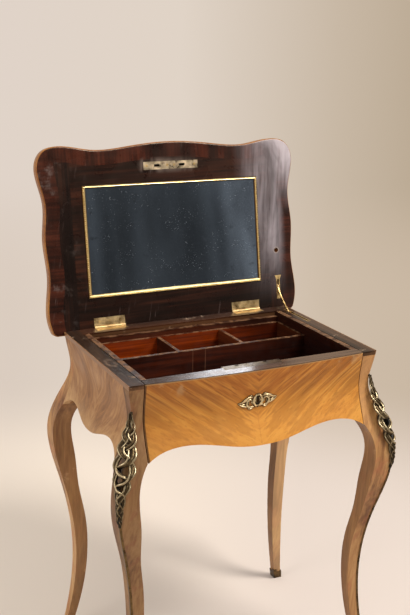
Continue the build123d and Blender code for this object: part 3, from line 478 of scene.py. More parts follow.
def mahogany(name, direction, drop, tones=MAHOGANY, scored=False):
    """Mahogany whose worn top edge lies a drop below the rim; a scored board has two pale scratches."""
    material, place = new_material(name, coat_weight=0.05, coat_roughness=0.2, specular_ior_level=0.2)
    x, _, z = parts_of(place)
    top_z = RIM_Z - drop
    colour, height = grain(place, direction, tones, 13.0, 0.8)
    # Painted shade: every fitting darkens towards the drawer's right, where the well lies in shade.
    colour = mix(step(x, 0.03, 0.19) * 0.8, colour, paint(104, 92, 82), "MULTIPLY")
    rub = noise(place, 60.0, 3.0)
    edge = step(z, top_z - 1.2 * MM, top_z - 0.6 * MM)
    colour = mix(edge * 0.7, colour, paint(44, 22, 13))
    colour = mix(edge * step(rub, 0.36, 0.66) * 0.4, colour, paint(168, 124, 88))
    if scored:
        for where in SCORES_X:
            colour = mix(step(abs(x - where), 0.8 * MM, 0.3 * MM) * 0.3, colour, paint(150, 110, 84))
    return finish_material(material, colour, step(rub, -0.8, 2.0), height, 0.1)


dress(mahogany("dark partition", ACROSS, FITTING_DROP, DARK_AND_SHADED_MAHOGANY, True), "partition_long")
dress(mahogany("mahogany across", ACROSS, FITTING_DROP), "lining_back")
dress(mahogany("mahogany front to back", ALONG, FITTING_DROP), "lining_left")
# Painted shade: the partitions and the right lining stand in shade, so they get darker wood.
dress(mahogany("partitions in painted shade", ALONG, FITTING_DROP, BROWN_AND_SHADED_MAHOGANY),
      "partition_left", "partition_right", "lining_right")
dress(mahogany("drawer back mahogany", ACROSS, BACK_DROP, BROWN_AND_SHADED_MAHOGANY), "drawer_back")
# Painted shade: the drawer's sides, in shade, get the darkest wood.
dress(mahogany("drawer sides in painted shade", ALONG, 0.0, DARK_AND_SHADED_MAHOGANY), "drawer_side_left", "drawer_side_right")
dress(mahogany("drawer floor", ACROSS, NO_EDGE), "drawer_bottom", "front_cross_rail", "mirror_backing")
dress(mahogany("runner wood", ALONG, NO_EDGE), "runner_left", "runner_right")
print("dressed the drawer's inside")

# %% [markdown]
# ## The lid
# Three woods share one board. The face that shows when the lid is open is dark and polished,
# with boards running across, cleats at the two ends and a border of redder cross-grained wood
# that follows the serpentine edge. The rounded edge and the outside are veneered like the case.
# The distance into the lid, measured from its face, tells the inside from the rest. Two curves,
# drawn from the outline itself, say how far the edge is, so the border keeps its width.

# %% The lid's outline and its own directions
SIDE_CURVE = [(-0.010, 0.278), (0.030, 0.2895), (0.108, 0.2823), (0.188, 0.2865), (0.262, 0.2815),
              (0.348, 0.2895), (0.375, 0.280)]
FRONT_CURVE = [(0.0, 0.375), (0.087, 0.369), (0.177, 0.3635), (0.2525, 0.3725), (0.2895, 0.352)]


def curve_of(value, points, low, high):
    """Read a drawn curve: points are (value, result), scaled to fit between low and high."""
    start, end = points[0][0], points[-1][0]
    made = put(value.tree, "ShaderNodeFloatCurve", {"Value": rescale(value, start, end, 0.0, 1.0)})
    drawn = made.node.mapping.curves[0]
    while len(drawn.points) < len(points):
        drawn.points.new(0.5, 0.5)
    for point, (where, result) in zip(drawn.points, points):
        point.location = ((where - start) / (end - start), (result - low) / (high - low))
    made.node.mapping.update()
    return rescale(made, 0.0, 1.0, low, high)


def on_lid(place):
    """The place as the lid has it: across, up from the hinge line, and in from its mirror side."""
    from_hinge = vectors("SUBTRACT", place, tuple(HINGE_LINE))
    u = parts_of(place)[0]
    v = vectors("DOT_PRODUCT", from_hinge, tuple(LID_UP))
    w = vectors("DOT_PRODUCT", from_hinge, tuple(LID_OUT)) * -1.0
    return u, v, w


print("the lid's curves have", len(SIDE_CURVE), "and", len(FRONT_CURVE), "points")

# %% The lid's boards and border
FIELD_TONES = [paint(10, 5, 4), paint(28, 13, 9), paint(56, 28, 18)]
CLEAT_TONES = [paint(8, 4, 4), paint(22, 11, 9), paint(44, 23, 16)]
BORDER_TONES = [paint(26, 10, 7), paint(52, 21, 13), paint(84, 38, 24)]
CLEAT_X, BORDER_W = 0.226, 0.032       # the cleats' inner edges, and the border's width


def boards(flat, across):
    """Dark boards that run across, between two cleats."""
    field, height = grain(flat, (1, 0.03, 0), FIELD_TONES, 15.0, 0.8)
    cleat, _ = grain(flat, ALONG, CLEAT_TONES, 15.0)
    colour = mix(step(across, CLEAT_X - 0.5 * MM, CLEAT_X + 0.5 * MM), field, cleat)
    seam = step(abs(across - CLEAT_X), 1.2 * MM, 0.3 * MM)
    return mix(seam * 0.5, colour, paint(12, 7, 6)), height


def border(colour, flat, v, across):
    """A redder band along the serpentine edge, its grain square to the nearer side."""
    side_gap = curve_of(v, SIDE_CURVE, 0.27, 0.295) - across
    front_gap = curve_of(across, FRONT_CURVE, 0.345, 0.38) - v
    near_side = step(front_gap - side_gap, -4.0 * MM, 4.0 * MM)
    rays_side, _ = grain(flat, ACROSS, BORDER_TONES, 30.0, 0.4)
    rays_front, _ = grain(flat, ALONG, BORDER_TONES, 30.0, 0.4)
    gap = maths("MINIMUM", side_gap, front_gap)
    banded = step(gap, BORDER_W + 0.5 * MM, BORDER_W - 0.5 * MM) * step(noise(flat, 8.0, 2.0), 0.3, 0.5)
    return mix(banded * 0.65, colour, mix(near_side, rays_front, rays_side))


print("the border is", round(BORDER_W / MM), "mm wide")

# %% The lid's haze, painted reflection and marks
STAY_HOLE = (HALF_W - 0.0165, 0.1264, 0.0)
STRIKE_X, STRIKE_V, STRIKE_HALF = -0.0015, 0.326, 0.060    # middle and half length of its straight part


def hazed_and_reflecting(colour, flat, u, v, bloom):
    """The bloom of old polish over the lid's right side, with a painted reflection of a bright window on it,
    and how thick it lies.
    """
    right = step(u, 0.14, 0.245) * maths("MAXIMUM", step(u, 0.272, 0.24), step(v, 0.2, 0.34))
    wiped = noise(squeeze(flat, (0.1, 1, 0), 0.08), 120.0, 3.0, 0.6)
    haze_and_reflection = right * (0.35 + step(bloom, 0.3, 0.66) * 0.65) * step(v, 0.0, 0.2)
    haze_and_reflection = haze_and_reflection * (0.35 + step(wiped, 0.2, 0.6) * 0.65)
    # Real bloom and painted reflection: a bluish grey over the lid's right side.
    colour = mix(haze_and_reflection * 0.92, colour, paint(158, 150, 156))
    # Painted reflection: the top right corner is lighter still.
    corner = step(u + v, 0.52, 0.64) * step(bloom, 0.34, 0.55)
    return mix(corner * 0.6, colour, paint(190, 182, 188)), haze_and_reflection


def marked(colour, flat, u, bloom, from_strike):
    """Scratches, the worn ring of the stay's hole with painted shade in the hole, and scuffs at the strike
    plate and the left edge.
    """
    scratch = noise(squeeze(flat, (0.2, 1, 0), 0.05), 240.0, 3.0, 0.7, 0.4)
    marks = step(scratch, 0.6, 0.72) * step(noise(flat, 16.0, 3.0), 0.5, 0.66)
    colour = mix(marks * 0.7, colour, paint(104, 88, 84))
    hole = vectors("LENGTH", vectors("SUBTRACT", flat, STAY_HOLE))
    colour = mix(step(hole, 8.5 * MM, 6.0 * MM) * 0.6, colour, paint(150, 136, 128))
    # Painted shade: the hole itself is painted near black.
    colour = mix(step(hole, 5.2 * MM, 4.8 * MM), colour, paint(8, 5, 4))
    halo = step(from_strike, 0.02, 0.006) * step(bloom, 0.4, 0.6)
    colour = mix(halo * 0.5, colour, paint(140, 122, 112))
    left = step(u, -0.2, -0.27) * step(noise(flat, 20.0, 5.0, 0.7), 0.54, 0.74)
    return mix(left * 0.6, colour, paint(112, 100, 96))


print("the lid's marks are ready")

# %% Lid wood
LID_THICK = 0.022


def lid_wood():
    material, place = new_material("polished lid", specular_ior_level=0.24, specular_tint=WARM_GLOSS)
    u, v, w = on_lid(place)
    flat, across = combine(u, v, w), abs(u)
    colour, height = boards(flat, across)
    colour = border(colour, flat, v, across)
    bloom = noise(squeeze(flat, ALONG, 0.4), 13.0, 4.0, 0.6, 0.6)
    colour, haze_and_reflection = hazed_and_reflecting(colour, flat, u, v, bloom)
    past_slots = maths("MAXIMUM", abs(u - STRIKE_X) - STRIKE_HALF, 0.0)
    from_strike = vectors("LENGTH", combine(past_slots, v - STRIKE_V))
    colour = marked(colour, flat, u, bloom, from_strike)

    outside, _ = grain(book_match(flat, 0.0), (0.7, 0.7, 0), HONEY, 11.0, 0.8)
    edge_tone = mix(0.6, outside, paint(112, 78, 54))
    below_face = step(w, 0.4 * MM, 1.0 * MM)
    colour = mix(below_face, colour, mix(step(w, LID_THICK - 4 * MM, LID_THICK - MM), edge_tone, outside))
    # Painted shade: the pocket under the strike plate's slots is painted near black.
    pocket = step(from_strike, 9.5 * MM, 8.5 * MM) * step(w, LID_THICK - 4 * MM, LID_THICK - 6 * MM)
    colour = mix(pocket * below_face, colour, paint(14, 8, 5))
    rough = step(noise(flat, 21.0, 4.0, 0.6, 0.5), -0.6, 2.4) + haze_and_reflection * 0.15
    return finish_material(material, colour, rough, height, 0.1)


dress(lid_wood(), "lid_panel")
print("dressed the lid")

# %% [markdown]
# ## Old mirror glass
# The silvering has gone grey and is pricked with tiny holes. A metal with a dark base colour
# and almost no roughness does it; faint cloudy streaks and specks keep it from looking new.

# %% Mirror
def old_mirror():
    material, place = new_material("old silvering", metallic=1.0)
    cloud = noise(squeeze(place, tuple(LID_UP), 0.35), 9.0, 3.0, 0.5, 0.3)
    colour = ramp(cloud, [(0.35, paint(88, 92, 98)), (0.65, paint(122, 128, 136))])
    dust = step(noise(place, 900.0, 2.0, 0.7), 0.52, 0.66)
    colour = mix(dust * 0.22, colour, paint(190, 196, 204))
    dots = step(noise(place, 420.0, 2.0, 0.7), 0.63, 0.72) * step(noise(place, 26.0, 3.0, 0.6), 0.4, 0.58)
    colour = mix(dots * 0.6, colour, paint(206, 212, 220))
    stain = step(noise(place, 42.0, 5.0, 0.7), 0.58, 0.7)
    colour = mix(stain * 0.5, colour, paint(56, 60, 66))
    return finish_material(material, colour, stain * 0.18 + (0.05 + dots * 0.3))


dress(old_mirror(), "mirror_glass")
print("dressed the mirror")

# %% [markdown]
# ## Brass
# The plain metal on this table is brass in several states: pale and engraved on the hinges,
# yellow on the stay and the screws, dull on the lock's plate, and brown on the strips and shoes
# of the legs. Two tones, the polish and the engraving tell them apart, so one recipe makes
# them all.

# %% Metals
def brass(name, light, dark, rough_low, rough_high, engraved=0.0):
    material, place = new_material(name, metallic=1.0)
    tarnish = noise(place, 70.0, 5.0, 0.65, 0.4)
    colour = ramp(tarnish, [(0.32, dark), (0.6, light)])
    height = noise(place, 500.0, 3.0)
    if engraved:
        inputs = {"Vector": place, "Scale": 120.0, "Distortion": 14.0, "Detail": 2.0, "Detail Scale": 1.6}
        scroll = put(place.tree, "ShaderNodeTexWave", inputs, "Fac", wave_type="RINGS")
        line = step(abs(scroll - 0.5), 0.14, 0.05)
        colour = mix(line * 0.6, colour, dark)
        height = height - line * 2.0
    rough = step(tarnish, -0.4 + rough_low, 1.4 + rough_high)
    return finish_material(material, colour, rough, height, 0.15 + engraved, 0.3 * MM)


dress(brass("engraved brass", paint(208, 184, 138), paint(140, 116, 78), 0.0, 0.2, 0.35),
      *[name for name in nodes if name.startswith(("hinge_case_leaf_", "hinge_lid_leaf_"))])
dress(brass("polished brass", paint(214, 184, 128), paint(110, 82, 46), 0.0, 0.2),
      "hinge_pin_left", "hinge_pin_right", "hinge_screws", "lid_screws", "stay_slot_plate", "stay_bracket",
      "stay_arm", "stay_end_pin", "stay_pivot_pin", "lock_pivot_pins", "lock_hook_left", "lock_hook_right")
dress(brass("browned brass", paint(112, 90, 58), paint(40, 30, 20), 0.1, 0.3),
      "lock_case", *[name for name in nodes if name.startswith(("arris_strip_", "sabot_"))])
dress(brass("dull brass", paint(136, 120, 98), paint(76, 60, 44), 0.1, 0.3), "lock_top_plate", "lock_screws")
dress(brass("pale brass", paint(210, 188, 156), paint(128, 110, 84), 0.1, 0.3), "strike_plate")
print("dressed the metal")

# %% [markdown]
# ## Ropes of bronze
# The mounts on this table are cast from modelled ropes and scrolls. A rope by hand is a curve
# with a round bevel: the curve says where it runs, and the radius at each point says how thick
# it is. Converted to a mesh it can be joined with others into one casting.

# %% Rope helpers
def start_clean():
    """Select nothing, so that the next operator acts on its own piece only."""
    bpy.ops.object.select_all(action="DESELECT")


def edit_all():
    """Enter edit mode with the whole piece selected."""
    bpy.ops.object.mode_set(mode="EDIT")
    bpy.ops.mesh.select_all(action="SELECT")


def store(piece, name, values):
    """Store one number for each point, for the material to read."""
    piece.data.attributes.new(name, "FLOAT", "POINT").data.foreach_set("value", values)


def keep_shine(piece, shine):
    """Say how well a piece's gilding is kept, from 0 to 1."""
    store(piece, "shine", [shine] * len(piece.data.vertices))


def rope(points, radii, shine=1.0):
    """A round strand through the points, closed at both ends."""
    start_clean()
    line = bpy.data.curves.new("strand", "CURVE")
    line.dimensions = "3D"
    line.bevel_depth = 1.0
    line.bevel_resolution = 2
    line.use_fill_caps = True
    spline = line.splines.new("POLY")
    spline.points.add(len(points) - 1)
    for knot, place, radius in zip(spline.points, points, radii):
        knot.co = (*place, 1)
        knot.radius = radius
    strand = bpy.data.objects.new("strand", line)
    bpy.context.scene.collection.objects.link(strand)
    bpy.context.view_layer.objects.active = strand
    strand.select_set(True)
    bpy.ops.object.convert(target="MESH")
    strand = bpy.context.active_object
    keep_shine(strand, shine)
    return strand


print("ropes can be laid")

# %% Casting helpers
def join(name, pieces):
    """One casting of several meshes, with smooth flanks."""
    start_clean()
    for piece in pieces:
        piece.select_set(True)
    bpy.context.view_layer.objects.active = pieces[0]
    bpy.ops.object.join()
    joined = bpy.context.active_object
    joined.name = name
    edit_all()
    bpy.ops.mesh.normals_make_consistent(inside=False)
    bpy.ops.object.mode_set(mode="OBJECT")
    bpy.ops.object.shade_smooth_by_angle(angle=math.radians(50))
    return joined


def between(pairs, where):
    """Read a value off a list of (place, value) pairs, sorted by place."""
    if where <= pairs[0][0]:
        return pairs[0][1]
    for (low, first), (high, second) in zip(pairs, pairs[1:]):
        if where <= high:
            return first + (second - first) * (where - low) / (high - low)
    return pairs[-1][1]


def surface_of(name):
    """A CAD node's surface, for finding the nearest point of it."""
    mesh = nodes[name].data
    place = nodes[name].matrix_world
    return BVHTree.FromPolygons([place @ v.co for v in mesh.vertices], [p.vertices for p in mesh.polygons])


def mark_relief(piece, ground, deep):
    """Store 1 on ridges that stand high and look outwards, bright with wear and painted highlight, and 0 on
    the sides and in hollows, dark with grime and painted shade.
    """
    values = []
    for vertex, kept in zip(piece.data.vertices, piece.data.attributes["shine"].data):
        foot, _, _, height = ground.find_nearest(vertex.co)
        # Painted highlight and shade: the more a point looks outwards, the brighter it is painted.
        facing = vertex.normal.dot((vertex.co - foot).normalized())
        values.append(kept.value * (0.55 * max(0.0, facing) + 0.45 * min(1.0, height / deep)))
    store(piece, "relief", values)


def hand_over(piece, gilding, node, body):
    """Gild a finished piece and put it in a CAD node's place, on that node's body."""
    piece.data.materials.clear()
    piece.data.materials.append(gilding)
    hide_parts(node)
    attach(piece, body)
    print(piece.name, len(piece.data.polygons), "faces")


print("castings can be joined, marked and handed over")

# %% [markdown]
# ## Gilt bronze
# Handling and dusting keep the ridges of old gilt bronze pale and bright, and grime settles in
# the hollows until they are nearly black. The same tones also hold painted highlights on the
# tops that look outwards and painted shade on the sides and in the hollows. It could be painted
# on by hand, but the casting's own relief knows where the ridges are: one number, stored on each
# point of a casting, drives both the colour and how metallic the surface is.

# %% Gilt bronze finish
def gilt_bronze(name, hollow, body, ridge):
    material, place = new_material(name, metallic=1.0)
    relief = put(place.tree, "ShaderNodeAttribute", output="Fac", attribute_name="relief")
    mixed = relief + (noise(place, 260.0, 4.0, 0.65) - 0.5) * 0.7
    colour = ramp(mixed, [(0.3, hollow), (0.6, body), (0.95, ridge)])
    rough = rescale(mixed, 0.2, 0.9, 0.6, 0.32)
    height = noise(place, 900.0, 3.0)
    return finish_material(material, colour, rough, height, 0.25, 0.2 * MM, step(mixed, 0.15, 0.45))


mount_bronze = gilt_bronze("aged gilt bronze", paint(16, 13, 10), paint(88, 74, 53), paint(172, 158, 128))
fillet_gilding = gilt_bronze("gilt fillet", paint(44, 28, 12), paint(156, 114, 50), paint(252, 230, 168))
scroll_gilding = gilt_bronze("gilt scrolls", paint(18, 13, 8), paint(108, 84, 50), paint(240, 220, 176))
print("mixed the gilding")

# %% [markdown]
# ## The chutes
# The mounts that fall over the knees are open plaits of three strands, each a strap with two
# raised ribs. In such a plait a strand swings from side to side once while it rises and dips
# twice, and the three follow one another a third of a turn apart. The plait is bent round the
# corner of the leg, wide over the knee and drawn to a point above and below. The outer reach of
# the CAD mount says how far it stands off the wood, and the plait stays inside that mount's box.

# %% Chute shape
PLAIT_TOP, PLAIT_LOW = 0.6375, 0.4400
PLAIT_HALF_WIDTH = [(0.440, 0.0022), (0.452, 0.0050), (0.467, 0.0070), (0.482, 0.0094), (0.496, 0.0108),
                    (0.508, 0.0142), (0.518, 0.0166), (0.532, 0.0196), (0.545, 0.0194), (0.556, 0.0176),
                    (0.570, 0.0142), (0.586, 0.0106), (0.600, 0.0082), (0.614, 0.0056), (0.6375, 0.0018)]
# Each rope of a strap: how far to its side, how far raised, how thick, and how well gilded.
RIBS = [(0.0, 0.0, 0.62, 0.6), (-0.66, 0.34, 0.32, 1.0), (0.66, 0.34, 0.32, 1.0)]
CORNER_SOFT = 6.0 * MM                 # the leg's corner is rounded a little
SIDE_REACH = 0.72                      # the plait reaches less far over the leg's side than its front
CREST_READINGS, STRAND_STEPS = 80, 150


def crest(name):
    """Height, and how far a left corner piece stands outside the case's corner there."""
    surface, far, pairs = surface_of(name), 0.1, []
    for i in range(CREST_READINGS):
        z = PLAIT_LOW + (PLAIT_TOP - PLAIT_LOW) * i / (CREST_READINGS - 1)
        start = Vector((-HALF_W - far + 0.1 * MM, CASE_Y - HALF_D - far, z))
        hit = surface.ray_cast(start, Vector((1, 1, 0)).normalized())[0]
        if hit is not None:
            pairs.append((z, -HALF_W - hit.x))
    return pairs


LEG_CREST = crest("leg_front_left")
MOUNT_CREST = crest("chute_front_left")
print("crest read at", len(LEG_CREST), "and", len(MOUNT_CREST), "heights")

# %% Places round the leg's corner
def over_corner(side, z, along, proud):
    """A point off the rounded corner of a front leg; along grows over its front face."""
    out = between(LEG_CREST, z)
    half = math.hypot(along, CORNER_SOFT)
    in_x, in_y = (half + along) / 2, (half - along) / 2
    length = math.hypot(in_x, in_y)
    x = HALF_W + out - in_x + proud * in_y / length
    y = CASE_Y - HALF_D - out + in_y - proud * in_x / length
    return Vector((side * x, y, z))


SPARE = 0.8 * MM                       # what the strands keep clear of the CAD mount's box
mount = nodes["chute_front_right"]
mount_corners = [mount.matrix_world @ Vector(corner) for corner in mount.bound_box]
MOUNT_OUT_X = max(corner.x for corner in mount_corners) - SPARE
MOUNT_OUT_Y = min(corner.y for corner in mount_corners) + SPARE


def overshoot(z, along, top):
    """How far a strand's top would pass the CAD mount's reach, measured square to the wood."""
    foot, tip = over_corner(1, z, along, 0.0), over_corner(1, z, along, top)
    lean = (tip - foot) / top
    return max(0.0, (tip.x - MOUNT_OUT_X) / max(lean.x, 0.3), (MOUNT_OUT_Y - tip.y) / max(-lean.y, 0.3))


print("the right mount reaches", round(MOUNT_OUT_X, 4), "m out and", round(-MOUNT_OUT_Y, 4), "m forward")

# %% Plaiting
def strand_path(side, strand, beside, raised, round_part):
    """One rope of a strand; where the plait is wide, it takes more height to swing across."""
    points, radii = [], []
    swing = 2 * math.pi * strand / 3
    for i in range(STRAND_STEPS + 1):
        z = PLAIT_TOP + (PLAIT_LOW - PLAIT_TOP) * i / STRAND_STEPS
        width = between(PLAIT_HALF_WIDTH, z)
        turn = 0.040 + 2.9 * width
        swing -= 2 * math.pi * (PLAIT_TOP - PLAIT_LOW) / STRAND_STEPS / turn
        thick = min(6.9 * MM, 1.5 * MM + 0.39 * width)
        reach = max(width - thick, 0.2 * MM)
        along = reach * math.sin(swing)
        dip = 0.55 * thick * math.sin(2 * swing)
        stand = (between(MOUNT_CREST, z) - between(LEG_CREST, z)) * math.sqrt(2) + 0.7 * CORNER_SOFT
        top = max(stand - 1.2 * thick, 0.9 * thick)
        edge = 0.8 * thick
        proud = edge + (top - edge) * (1 - (along / width) ** 2) + dip
        lean = reach * math.cos(swing) * 2 * math.pi / turn
        slope = math.hypot(1, lean)
        across = along + beside * thick / slope
        across *= SIDE_REACH if across < 0 else 1.0
        proud -= overshoot(z, across, proud + 0.66 * thick)
        points.append(over_corner(side, z + beside * thick * lean / slope, across, proud + raised * thick))
        radii.append(round_part * thick)
    return points, radii


def plait(side):
    """Three strands of three ropes, with a bead at each end."""
    ropes = [rope(*strand_path(side, strand, *shape), shine) for strand in range(3) for *shape, shine in RIBS]
    for z, size in ((PLAIT_TOP, 2.6 * MM), (PLAIT_LOW, 2.2 * MM)):
        place = over_corner(side, z, 0.0, 1.5 * MM + size)
        bpy.ops.mesh.primitive_uv_sphere_add(segments=12, ring_count=8, radius=size, location=place)
        bead = bpy.context.active_object
        bpy.ops.object.transform_apply(location=True)
        keep_shine(bead, 1.0)
        ropes.append(bead)
    return ropes


for side, word in ((-1, "left"), (1, "right")):
    chute = join("chute_plait_" + word, plait(side))
    mark_relief(chute, surface_of("leg_front_" + word), 12 * MM)
    hand_over(chute, mount_bronze, "chute_front_" + word, "case")

# %% [markdown]
# ## The escutcheon
# The keyhole sits in a small rocaille mount: two upright scrolls round the hole, and a spray of
# curled leaves to each side. Each curl is a rope that swells in the middle and dies to a point.
# The strokes are drawn flat, in millimetres from the middle of the mount, and laid on the bowed
# drawer front. The leaves are drawn once and mirrored about the keyhole.

# %% Escutcheon strokes
ESCUTCHEON = Vector((-0.008, 0.0, RIM_Z - 0.062))
KEYHOLE_X = 3.5
STROKES = [
    ([(2, -10), (8, -9), (12, -2), (11, 5), (7, 11), (3, 9)], [0.9, 1.7, 2.1, 1.9, 1.4, 0.8]),
    ([(10, -9), (19, -10), (26, -5), (26, 2), (20, 5), (16, 2), (18, -2)],
     [0.8, 1.6, 1.9, 1.7, 1.4, 1.1, 0.7]),
    ([(11, 7), (19, 9.5), (28, 8), (36, 3.5), (44.5, 2.5)], [0.6, 1.5, 1.9, 1.5, 0.8]),
    ([(22, -9), (30, -6), (37, -3), (43, 1)], [0.6, 1.5, 1.4, 0.8]),
    ([(27, -2), (33, -1), (38, 1)], [0.5, 1.4, 0.8]),
    ([(13, 10), (18, 12.5), (24, 11.5)], [0.4, 1.2, 0.8]),
    ([(12, -11), (18, -13), (25, -11)], [0.4, 1.2, 0.8]),
    ([(7, -4), (8.5, 1), (6.5, 6)], [0.6, 1.3, 0.6]),
    ([(14, -6), (16, -1), (14.5, 4.5)], [0.5, 1.3, 0.6]),
    ([(21, -5), (22.5, -1.5), (21, 1)], [0.5, 1.1, 0.6]),
    ([(22, 7.5), (27, 4.5), (33, 2.5)], [0.5, 1.3, 0.7]),
]
CROWN = [
    ([(3.5, 10), (3.5, 13.8)], [1.4, 0.6]),
    ([(1.5, 10), (-0.5, 13)], [1.0, 0.5]),
    ([(5.5, 10), (7.5, 13)], [1.0, 0.5]),
    ([(3.5, -9), (3.5, -14)], [1.6, 0.6]),
    ([(1, -9), (-2.5, -13)], [1.2, 0.5]),
    ([(6, -9), (9.5, -13)], [1.2, 0.5]),
]
FRONT_SURFACE = surface_of("drawer_front")
print(2 * len(STROKES) + len(CROWN), "curls are drawn")

# %% Laying the strokes
def smooth_line(points, sizes, steps=7):
    """More points along a line through the given ones (a Catmull-Rom curve)."""
    rows = [(*point, size) for point, size in zip(points, sizes)]
    rows = [rows[0]] + rows + [rows[-1]]
    out = []
    for a, b, c, d in zip(rows, rows[1:], rows[2:], rows[3:]):
        for i in range(steps):
            t = i / steps
            out.append([0.5 * (2 * q + (r - p) * t + (2 * p - 5 * q + 4 * r - s) * t * t
                               + (3 * q - p - 3 * r + s) * t ** 3) for p, q, r, s in zip(a, b, c, d)])
    return out + [list(rows[-1])]


def on_front(x, z, off):
    """A point off the bowed drawer front, from millimetres about the mount's middle."""
    start = ESCUTCHEON + Vector((x * MM, -0.5, z * MM))
    foot = FRONT_SURFACE.ray_cast(start, Vector((0, 1, 0)))[0]
    if foot is None:                   # over the keyhole: halfway between its two sides
        return (on_front(x - 3, z, off) + on_front(x + 3, z, off)) / 2
    return foot + Vector((0, -1, 0)) * off * MM


def stroke(points, sizes, mirrored=False):
    """One curl; a mirrored one also droops a little, as the left leaves do."""
    line = smooth_line(points, sizes)
    if mirrored:
        line = [(2 * KEYHOLE_X - x, z - 0.12 * (x - KEYHOLE_X), size) for x, z, size in line]
    places = [on_front(x, z, 0.8 * size + 0.2) for x, z, size in line]
    return rope(places, [1.3 * size * MM for _, _, size in line])


curls = [stroke(*drawn, mirrored) for drawn in STROKES for mirrored in (False, True)]
curls += [stroke(*drawn) for drawn in CROWN]
print("laid", len(curls), "curls")

# %% Shield and keyhole
HOLE_R, SLOT_W, SLOT_H, SLOT_DROP = 1.9 * MM, 1.8 * MM, 6.0 * MM, 3.4 * MM
THROUGH = 0.03                         # longer than the shield is thick
QUARTER = math.radians(90)

start_clean()
bpy.ops.mesh.primitive_cylinder_add(vertices=40, radius=1, depth=1, location=(0, 0, 0))
shield = bpy.context.active_object
edit_all()
bpy.ops.transform.resize(value=(9.5 * MM, 12.5 * MM, 1.6 * MM))
bpy.ops.transform.rotate(value=QUARTER, orient_axis="X", center_override=(0, 0, 0))
bpy.ops.transform.translate(value=on_front(KEYHOLE_X, 0, 0.7))
bpy.ops.object.mode_set(mode="OBJECT")


def cut_shield(add, **shape):
    """Add a tool with the given operator and take its shape out of the shield."""
    start_clean()
    add(**shape)
    tool = bpy.context.active_object
    bpy.context.view_layer.objects.active = shield
    cut = shield.modifiers.new("keyhole", "BOOLEAN")
    cut.operation = "DIFFERENCE"
    cut.object = tool
    bpy.ops.object.modifier_apply(modifier=cut.name)
    bpy.data.objects.remove(tool)


hole = on_front(KEYHOLE_X, 0, 0)
cut_shield(bpy.ops.mesh.primitive_cylinder_add, vertices=24, radius=HOLE_R, depth=THROUGH,
           location=hole, rotation=(QUARTER, 0, 0))
cut_shield(bpy.ops.mesh.primitive_cube_add, size=1, location=hole - Vector((0, 0, SLOT_DROP)),
           scale=(SLOT_W, THROUGH, SLOT_H))
keep_shine(shield, 0.6)
escutcheon = join("escutcheon_scrolls", [shield] + curls)
mark_relief(escutcheon, FRONT_SURFACE, 3.5 * MM)
hand_over(escutcheon, scroll_gilding, "escutcheon", "drawer")

# %% [markdown]
# ## The mirror's fillets
# Four gilt mouldings hold the glass: a thin outer rail, a string of beads, and a smooth slope
# down to the glass, mitred at the corners. A circle with as many points as the moulding's
# section becomes that section once its points are moved, and one extrusion gives the length.
# One bead is a small ball with few faces, and an Array modifier strings the row. All of it is
# drawn in millimetres, flat, and then laid on the leaning lid.

# %% Fillet shape
SECTION = [(0, 0), (0, 1.5), (0.3, 1.9), (0.6, 1.3), (2.9, 1.3), (3.1, 2.8), (3.6, 3.0), (4.6, 2.3),
           (6.6, 0.5), (6.6, 0)]
BEAD_PITCH, BEAD_R, BEAD_AT, BEAD_RISE = 3.9, 1.4, 1.75, 1.5
FOOT_HIGH, CREST_HIGH = 1.5, 2.8       # below and above these heights the gilding is dull or bright
OUTER_U, OUTER_LOW, OUTER_HIGH = 201.0, 62.0, 292.0
lid_face = Matrix((Vector((1, 0, 0)), LID_UP, LID_OUT)).transposed().to_4x4()
lid_face = Matrix.Translation(HINGE_LINE - 0.2 * MM * LID_OUT) @ lid_face


def moulding(length):
    """A mitred bar: its outer edge runs along x from 0, its section along y, its height along z."""
    start_clean()
    bpy.ops.mesh.primitive_circle_add(vertices=len(SECTION), radius=1, fill_type="NGON")
    bar = bpy.context.active_object
    for vertex, (across, high) in zip(bar.data.vertices, SECTION):
        vertex.co = (0, across, high)
    edit_all()
    bpy.ops.mesh.extrude_region_move(TRANSFORM_OT_translate={"value": (length, 0, 0)})
    bpy.ops.object.mode_set(mode="OBJECT")
    for vertex in bar.data.vertices:
        vertex.co.x += vertex.co.y if vertex.co.x < length / 2 else -vertex.co.y
    return bar


def bead_string(length):
    """As many beads as the length takes, centred on it."""
    start_clean()
    count = int((length - 2 * BEAD_AT) // BEAD_PITCH)
    first = ((length - (count - 1) * BEAD_PITCH) / 2, BEAD_AT, BEAD_RISE)
    bpy.ops.mesh.primitive_uv_sphere_add(segments=8, ring_count=5, radius=BEAD_R, location=first)
    bpy.ops.object.transform_apply(location=True)
    beads = bpy.context.active_object
    row = beads.modifiers.new("row", "ARRAY")
    row.count = count
    row.use_relative_offset = False
    row.use_constant_offset = True
    row.constant_offset_displace = (BEAD_PITCH, 0, 0)
    bpy.ops.object.modifier_apply(modifier=row.name)
    return beads


print("the section has", len(SECTION), "points")

# %% Laying the fillets
def fillet(word, corner, turn, length, dull, bright):
    """Lay a moulding on the lid's face from a corner; dull and bright gild its foot and its crest, and carry
    the painted light that differs from side to side.
    """
    bar = join("fillet_" + word, [moulding(length), bead_string(length)])
    flat = Matrix.Translation((corner[0], corner[1], 0)) @ Matrix.Rotation(math.radians(turn), 4, "Z")
    bar.data.transform(lid_face @ Matrix.Scale(MM, 4) @ flat)
    bar.data.update()
    heights = [(vertex.co - HINGE_LINE).dot(LID_OUT) / MM for vertex in bar.data.vertices]
    lit = [max(0.0, min(1.0, (high - FOOT_HIGH) / (CREST_HIGH - FOOT_HIGH))) for high in heights]
    store(bar, "relief", [dull + (bright - dull) * share for share in lit])
    hand_over(bar, fillet_gilding, "mirror_fillet_" + word, "lid")


wide, tall = 2 * OUTER_U, OUTER_HIGH - OUTER_LOW
